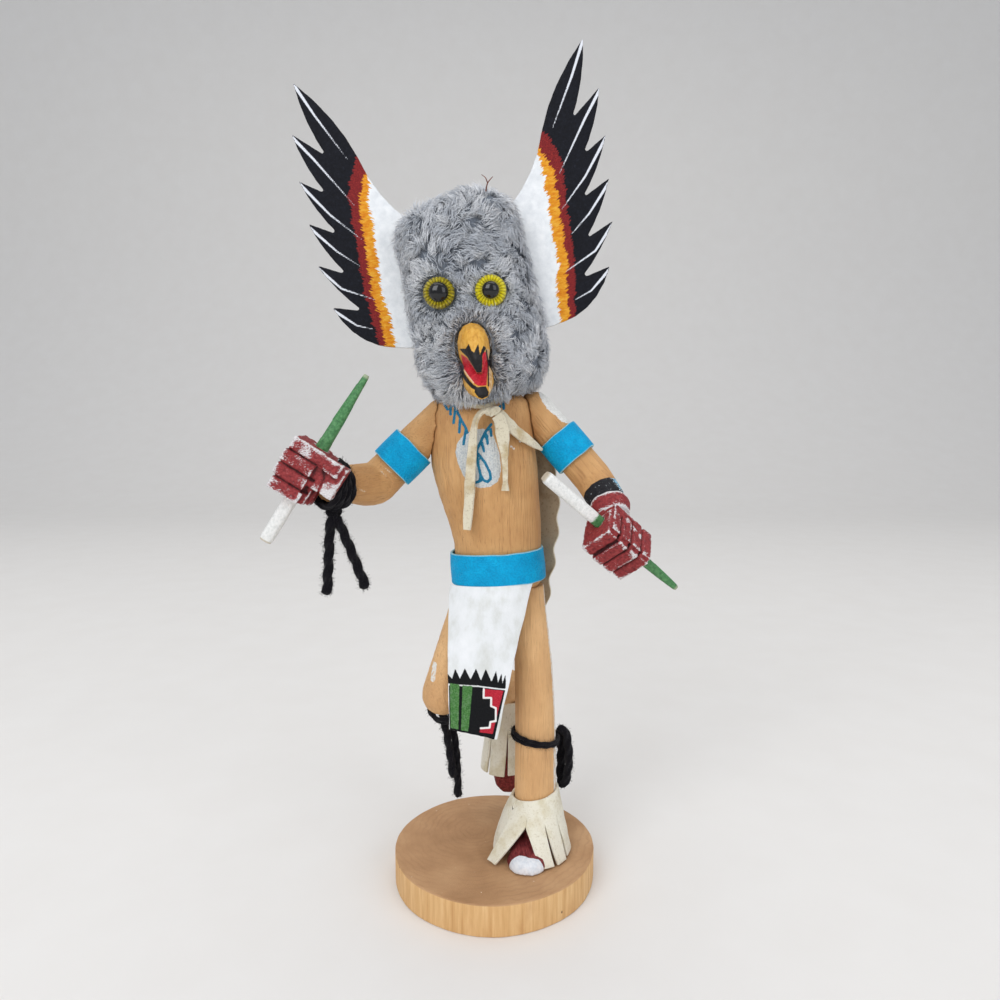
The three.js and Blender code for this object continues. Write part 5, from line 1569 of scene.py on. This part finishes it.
trefoil = []
for a in np.linspace(0, 2 * pi, 121):
    trefoil.append(np.array([-66.0, -28.8, 175.4]) + 0.85 * np.array([
        sin(a) + 2 * sin(2 * a), 1.1 * sin(3 * a), cos(a) - 2 * cos(2 * a)]) * (0.85, 1, 0.95))
wrist_knot = yarn_skin("wrist_knot_yarn", np.array(trefoil), 2.9, pitch=5, closed=True)
settle(wrist_knot, yarn_finish, ["wrist_knot"])

for solid, name, middle, normal, width, slack in (
        ("right_garter", "garter_bent", (-17.8, -3, 88.5), (0.42, 0.57, -0.7), 4.2, 2.2),
        ("left_garter", "garter_standing", (19, 0, 67.4), (-0.16, 0, -1), 3.4, 0)):
    mesh = frame["nodes"][solid].data
    tree = BVHTree.FromPolygons([v.co[:] for v in mesh.vertices], [p.vertices[:] for p in mesh.polygons])
    way = Vector(normal).normalized()
    u = way.cross(Vector((0, 1, 0.2))).normalized()
    v = way.cross(u)
    reach, heading = [], np.linspace(0, 2 * pi, 61)[:-1]
    for a in heading:
        out = u * cos(a) + v * sin(a)
        first = tree.ray_cast(Vector(mm(*middle)), out)[3]
        last = tree.ray_cast(Vector(mm(*middle)) + out * 0.05, -out)[3]
        reach.append(((first or 0.01) + 0.05 - (last or 0.04)) / 2 / MM)
    reach = np.array(reach)
    for _ in range(3):
        reach = (np.roll(reach, 1) + 2 * reach + np.roll(reach, -1)) / 4
    turns = []
    for k, shift in enumerate((-width * 0.24, width * 0.24)):
        loop = []
        for a in np.linspace(0, 2 * pi, 121):
            r = np.interp(a, np.r_[heading, 2 * pi], np.r_[reach, reach[0]])
            r += slack * max(0, (u * cos(a) + v * sin(a)).dot(Vector((-0.5, -0.35, -0.8))))
            spot = Vector(middle) + way * (shift + 0.25 * sin(a * 2 + k * 2)) + (u * cos(a) + v * sin(a)) * r
            loop.append(np.array(spot))
        turns.append(yarn_skin(f"turn_{k}", np.array(loop), width * 0.58, pitch=5, closed=True, sides=14))
    garter = joined(name, turns)
    settle(garter, yarn_finish, [solid])
    print(name, "radius", round(float(reach.min()), 1), "to", round(float(reach.max()), 1))

# %% [markdown]
# ## The mask under its fur
# The mask is covered in grey rabbit fur. Under the hairs is the hide itself, a soft dark skin, so
# no light shows between them. It is a sanded copy of the mask's solid, drawn in by a millimetre.
# %% Fur backing


def hollow(spots):
    """The mask's top is lower on the bent arm's side."""
    return 3.4 * np.clip((5 - spots[:, 0]) / 12, 0, 1) * np.clip((spots[:, 2] - 52) / 28, 0, 1)


backing = from_solid("head", "fur_backing", 1.2, 3)
where, facing = points_of(backing)
where = to_mask(where - facing * 1.0)
where[:, 2] -= hollow(where)
set_points(backing, from_mask(where))
where, facing = points_of(backing)
fur_hide = Finish("fur hide", 1.0)
here = fur_hide.place()
fur_hide.colour(fur_hide.steps(fur_hide.noise(here, 1.2, 4), (0.3, tint(98, 105, 115)), (0.7, tint(136, 144, 154))))
fur_hide.bump(fur_hide.noise(here, 2, 4), 0.4)
settle(backing, fur_hide, ["head"], None)
bpy.ops.object.shade_smooth()

# %% [markdown]
# ## The fur
# Short rabbit fur lies in soft clumps that curl every way. Each hair is a closed three-sided spike
# with a bend in it. Hairs near the same clump centre lean the same way and close up towards the
# clump's tip. Thousands of spikes are far too many for operators, so arrays make them at once.
# %% Fur hairs
rng = np.random.default_rng(11)
triangles = []
backing.data.calc_loop_triangles()
triangles = np.array([t.vertices[:] for t in backing.data.loop_triangles])
where, facing = points_of(backing)
corner = where[triangles]
areas = np.linalg.norm(np.cross(corner[:, 1] - corner[:, 0], corner[:, 2] - corner[:, 0]), axis=1) / 2


def scatter(count):
    """Random spots on the backing, with the direction each one faces, in the mask's frame."""
    chosen = rng.choice(len(triangles), count, p=areas / areas.sum())
    a, b = rng.random(count), rng.random(count)
    flip = a + b > 1
    a[flip], b[flip] = 1 - a[flip], 1 - b[flip]
    mix = np.stack([1 - a - b, a, b], axis=1)[:, :, None]
    spots = (corner[chosen] * mix).sum(axis=1)
    ways = (facing[triangles[chosen]] * mix).sum(axis=1)
    ways /= np.linalg.norm(ways, axis=1)[:, None] + 1e-9
    return to_mask(spots), ways @ LEAN


def hairy(spots, ways):
    """Where hair grows: not in the sockets of the eyes and beak, nor in the wings' slots."""
    axis = np.stack([spots[:, 0] + 0.8, spots[:, 1]], axis=1)
    grows = (np.einsum("ij,ij->i", axis, ways[:, :2]) > -2) | (spots[:, 2] > 78) | (spots[:, 2] < 8)
    grows &= np.abs(spots[:, 0]) + 0 * spots[:, 1] < 40
    for x, z in ((-12.7, 43.7), (8.1, 41.5)):
        grows &= (np.hypot(spots[:, 0] - x, spots[:, 2] - z) > 5.6) | (spots[:, 1] > 0)
    in_beak = (np.abs(spots[:, 0] + 2.2) < 5.8) & (spots[:, 2] > 6) & (spots[:, 2] < 28) & (spots[:, 1] < 0)
    return grows & ~in_beak


def unit(vectors):
    return vectors / (np.linalg.norm(vectors, axis=1)[:, None] + 1e-9)


def swirl(spots, scale, shift):
    """A smooth random direction for each spot."""
    return np.array([noise.noise_vector(Vector(spot) * scale + Vector((shift, 0, shift))) for spot in spots])


CLUMPS, HAIRS = 2600, 52000
clump_spots, clump_ways = scatter(CLUMPS)
keep = hairy(clump_spots, clump_ways)
clump_spots, clump_ways = clump_spots[keep], clump_ways[keep]
clump_lean = swirl(clump_spots, 0.055, 3) * 1.6 + swirl(clump_spots, 0.15, 9) * 1.1 + rng.normal(0, 0.22, clump_spots.shape)
clump_lean[:, 2] -= 0.12
clump_lean -= clump_ways * np.einsum("ij,ij->i", clump_lean, clump_ways)[:, None]
clump_lean = unit(clump_lean)
clump_lift = rng.uniform(0.22, 0.46, len(clump_spots))
clump_long = rng.uniform(5.8, 8.5, len(clump_spots))
clump_tone = np.clip(0.5 + 0.9 * np.array([noise.noise(Vector(s) * 0.09) for s in clump_spots]) + rng.normal(0, 0.14, len(clump_spots)), 0, 1)
tree = kdtree.KDTree(len(clump_spots))
for k, spot in enumerate(clump_spots):
    tree.insert(spot, k)
tree.balance()

roots, ways = scatter(HAIRS)
keep = hairy(roots, ways)
roots, ways = roots[keep], ways[keep]
near = np.array([tree.find(spot)[1] for spot in roots])
count = len(roots)
lean = clump_lean[near] + rng.normal(0, 0.2, (count, 3))
lean -= ways * np.einsum("ij,ij->i", lean, ways)[:, None]
lean = unit(lean)
# Hairs by an eye or the beak lean away from it.
for x, z, far in ((-12.7, 43.7, 9.5), (8.1, 41.5, 9.5), (-2.2, 14.0, 15.0)):
    away = np.stack([roots[:, 0] - x, np.zeros(count), (roots[:, 2] - z) * (1 if far < 12 else 0.6)], axis=1)
    gap = np.linalg.norm(away, axis=1)
    pull = np.clip((far - gap) / 3.0, 0, 1) * (roots[:, 1] < 0)
    lean = unit(lean * (1 - pull[:, None]) + unit(away) * pull[:, None] * 1.2)
lift = np.clip(clump_lift[near] + rng.normal(0, 0.1, count), 0.18, 0.9)
long = clump_long[near] * rng.uniform(0.7, 1.1, count)
long *= np.where((roots[:, 1] < -18) & (np.hypot(roots[:, 0] + 2, roots[:, 2] - 30) < 20), 0.75, 1.0)
lower = np.clip((9 - roots[:, 2]) / 9, 0, 1)
long *= 1 - 0.45 * lower
under_bill = (roots[:, 2] < 7) & (np.abs(roots[:, 0] + 1) < 11) & (roots[:, 1] < 0)
long = np.where(under_bill, rng.uniform(5.5, 7.5, count), long)
lean[under_bill] = unit(lean[under_bill] * 0.5 + np.array([0, -0.2, -1.0]))
heading = unit(lean * (1 - lift[:, None] * 0.55) + ways * lift[:, None])
tip = roots + heading * long[:, None]
gather = clump_spots[near] + unit(clump_lean[near] * (1 - clump_lift[near, None] * 0.55)
                                  + clump_ways[near] * clump_lift[near, None]) * clump_long[near, None]
tip += (gather - tip) * rng.uniform(0.05, 0.28, count)[:, None]
bend = unit(np.cross(heading, ways)) * rng.normal(0, 0.9, count)[:, None]
middle = roots + (tip - roots) * 0.5 + ways * (long * 0.14)[:, None] + bend
roots = roots - ways * 0.6
tone = np.clip(clump_tone[near] + rng.normal(0, 0.13, count), 0, 1)


def spikes(name, roots, middles, tips, thick, tone):
    """Closed three-sided spikes: a point at the root, a triangle at the bend, and a point at the tip."""
    count = len(roots)
    along = unit(tips - roots)
    side = unit(np.cross(along, rng.normal(0, 1, (count, 3))))
    up = np.cross(along, side)
    corners = np.empty((count, 5, 3))
    for j in range(3):
        angle = 2 * pi * j / 3
        spoke = side * cos(angle) + up * sin(angle)
        corners[:, 1 + j] = middles + spoke * thick[:, None]
    corners[:, 0] = roots
    corners[:, 4] = tips
    faces = []
    for j in range(3):
        n = (j + 1) % 3
        faces += [(0, 1 + n, 1 + j), (1 + j, 1 + n, 4)]
    faces = np.array(faces)
    all_faces = (faces[None] + 5 * np.arange(count)[:, None, None]).reshape(-1, 3)
    mesh = bpy.data.meshes.new(name)
    mesh.vertices.add(count * 5)
    mesh.vertices.foreach_set("co", (corners.reshape(-1, 3) * MM).ravel())
    mesh.loops.add(len(all_faces) * 3)
    mesh.loops.foreach_set("vertex_index", all_faces.ravel().astype(np.int32))
    mesh.polygons.add(len(all_faces))
    mesh.polygons.foreach_set("loop_start", np.arange(0, len(all_faces) * 3, 3, dtype=np.int32))
    mesh.polygons.foreach_set("use_smooth", np.ones(len(all_faces), bool))
    mesh.update(calc_edges=True)
    mesh.validate()
    piece = bpy.data.objects.new(name, mesh)
    bpy.context.scene.collection.objects.link(piece)
    add_field(piece, "along", np.tile([0, 0.45, 0.45, 0.45, 1], count))
    add_field(piece, "tone", np.repeat(tone, 5))
    return piece


fur = Finish("grey rabbit fur", 0.75)
fur.shader.inputs["Sheen Weight"].default_value = 0.3
fur.shader.inputs["Sheen Roughness"].default_value = 0.5
fur.shader.inputs["Specular IOR Level"].default_value = 0.2
value = fur.math("MULTIPLY_ADD", fur.field("along"), 0.5, fur.math("MULTIPLY", fur.field("tone"), 0.5))
fur.colour(fur.steps(value, (0.1, tint(142, 148, 157)), (0.32, tint(188, 194, 202)), (0.55, tint(212, 216, 221)),
                     (0.8, tint(234, 236, 238)), (1.0, tint(246, 247, 248))))
middle_x = -0.8
quarter = (np.degrees(np.arctan2(roots[:, 1], roots[:, 0] - middle_x)) + 360) % 360
thick = rng.uniform(0.12, 0.18, count)
for name, low, high in (("fur_front_right", 270, 360), ("fur_front_left", 180, 270), ("fur_back_left", 90, 180), ("fur_back_right", 0, 90)):
    here = (quarter >= low) & (quarter < high)
    piece = spikes(name, from_mask(roots[here]), from_mask(middle[here]), from_mask(tip[here]), thick[here], tone[here])
    settle(piece, fur, (), None)

# %% [markdown]
# ## Loose fibres on the yarn
# Wool is fuzzy: fine fibres stand out from it all along. They are the same closed spikes as the
# fur's hairs, much thinner, started on the yarn's own corners and standing out from it with a random scatter.
# %% Yarn fuzz
woolly = [thing for thing in bpy.data.objects if thing.type == "MESH" and (
    thing.name.startswith("yarn_") or thing.name in ("wrist_yarn", "wrist_knot_yarn", "garter_bent", "garter_standing"))]
starts, ends = [], []
for piece in woolly:
    where, facing = points_of(piece)
    chosen = rng.choice(len(where), min(len(where), 1100))
    reach = rng.uniform(0.5, 1.5, len(chosen))[:, None]
    starts.append(where[chosen] - facing[chosen] * 0.2)
    ends.append(where[chosen] + facing[chosen] * reach * 0.8 + rng.normal(0, 0.55, (len(chosen), 3)))
starts, ends = np.concatenate(starts), np.concatenate(ends)
middles = (starts + ends) / 2 + rng.normal(0, 0.2, starts.shape)
fuzz = spikes("yarn_fuzz", starts, middles, ends, np.full(len(starts), 0.055), rng.random(len(starts)))
settle(fuzz, yarn_finish, (), None)

# %% [markdown]
# ## A twig in the fur
# A small reddish twig with a fork has caught in the fur on top of the mask. Two short round shoots
# are swept along bent paths and joined.
# %% Twig
bark = Finish("red-brown twig", 0.7)
here = bark.place()
bark.colour(bark.steps(bark.noise(here, 2, 3), (0.3, tint(84, 44, 34)), (0.7, tint(140, 84, 64))))
bark.bump(bark.noise(here, 4, 2), 0.1)


def shoot(name, path, thick):
    rings = []
    for k, (spot, (side, up)) in enumerate(zip(path, frames_along(path))):
        reach = thick * (1 - 0.6 * k / len(path))
        rings.append([spot + reach * (side * cos(a) + up * sin(a)) for a in np.linspace(0, 2 * pi, 9)[:-1]])
    return skin(name, rings)


foot = np.array([12.0, -17.5, 82.5])
twig = joined("twig", [
    shoot("stem", path_through(from_mask([foot, foot + (1.2, -2.0, 2.6), foot + (3.6, -3.4, 4.4)]), 14), 0.34),
    shoot("fork", path_through(from_mask([foot + (1.2, -2.0, 2.6), foot + (0.6, -2.6, 4.6), foot + (-0.8, -2.8, 6.0)]), 12), 0.26)])
settle(twig, bark)
total = sum(len(p.vertices) - 2 for thing in bpy.data.objects if thing.type == "MESH" and not thing.hide_render
            for p in thing.data.polygons)
print("triangles in all:", total)

# %% [markdown]
# ## Last checks
# The box of the dressed doll is printed, in millimetres.
# %% Finish
low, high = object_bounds()
print("dressed box", [round(v / MM, 1) for v in (*low, *high)])
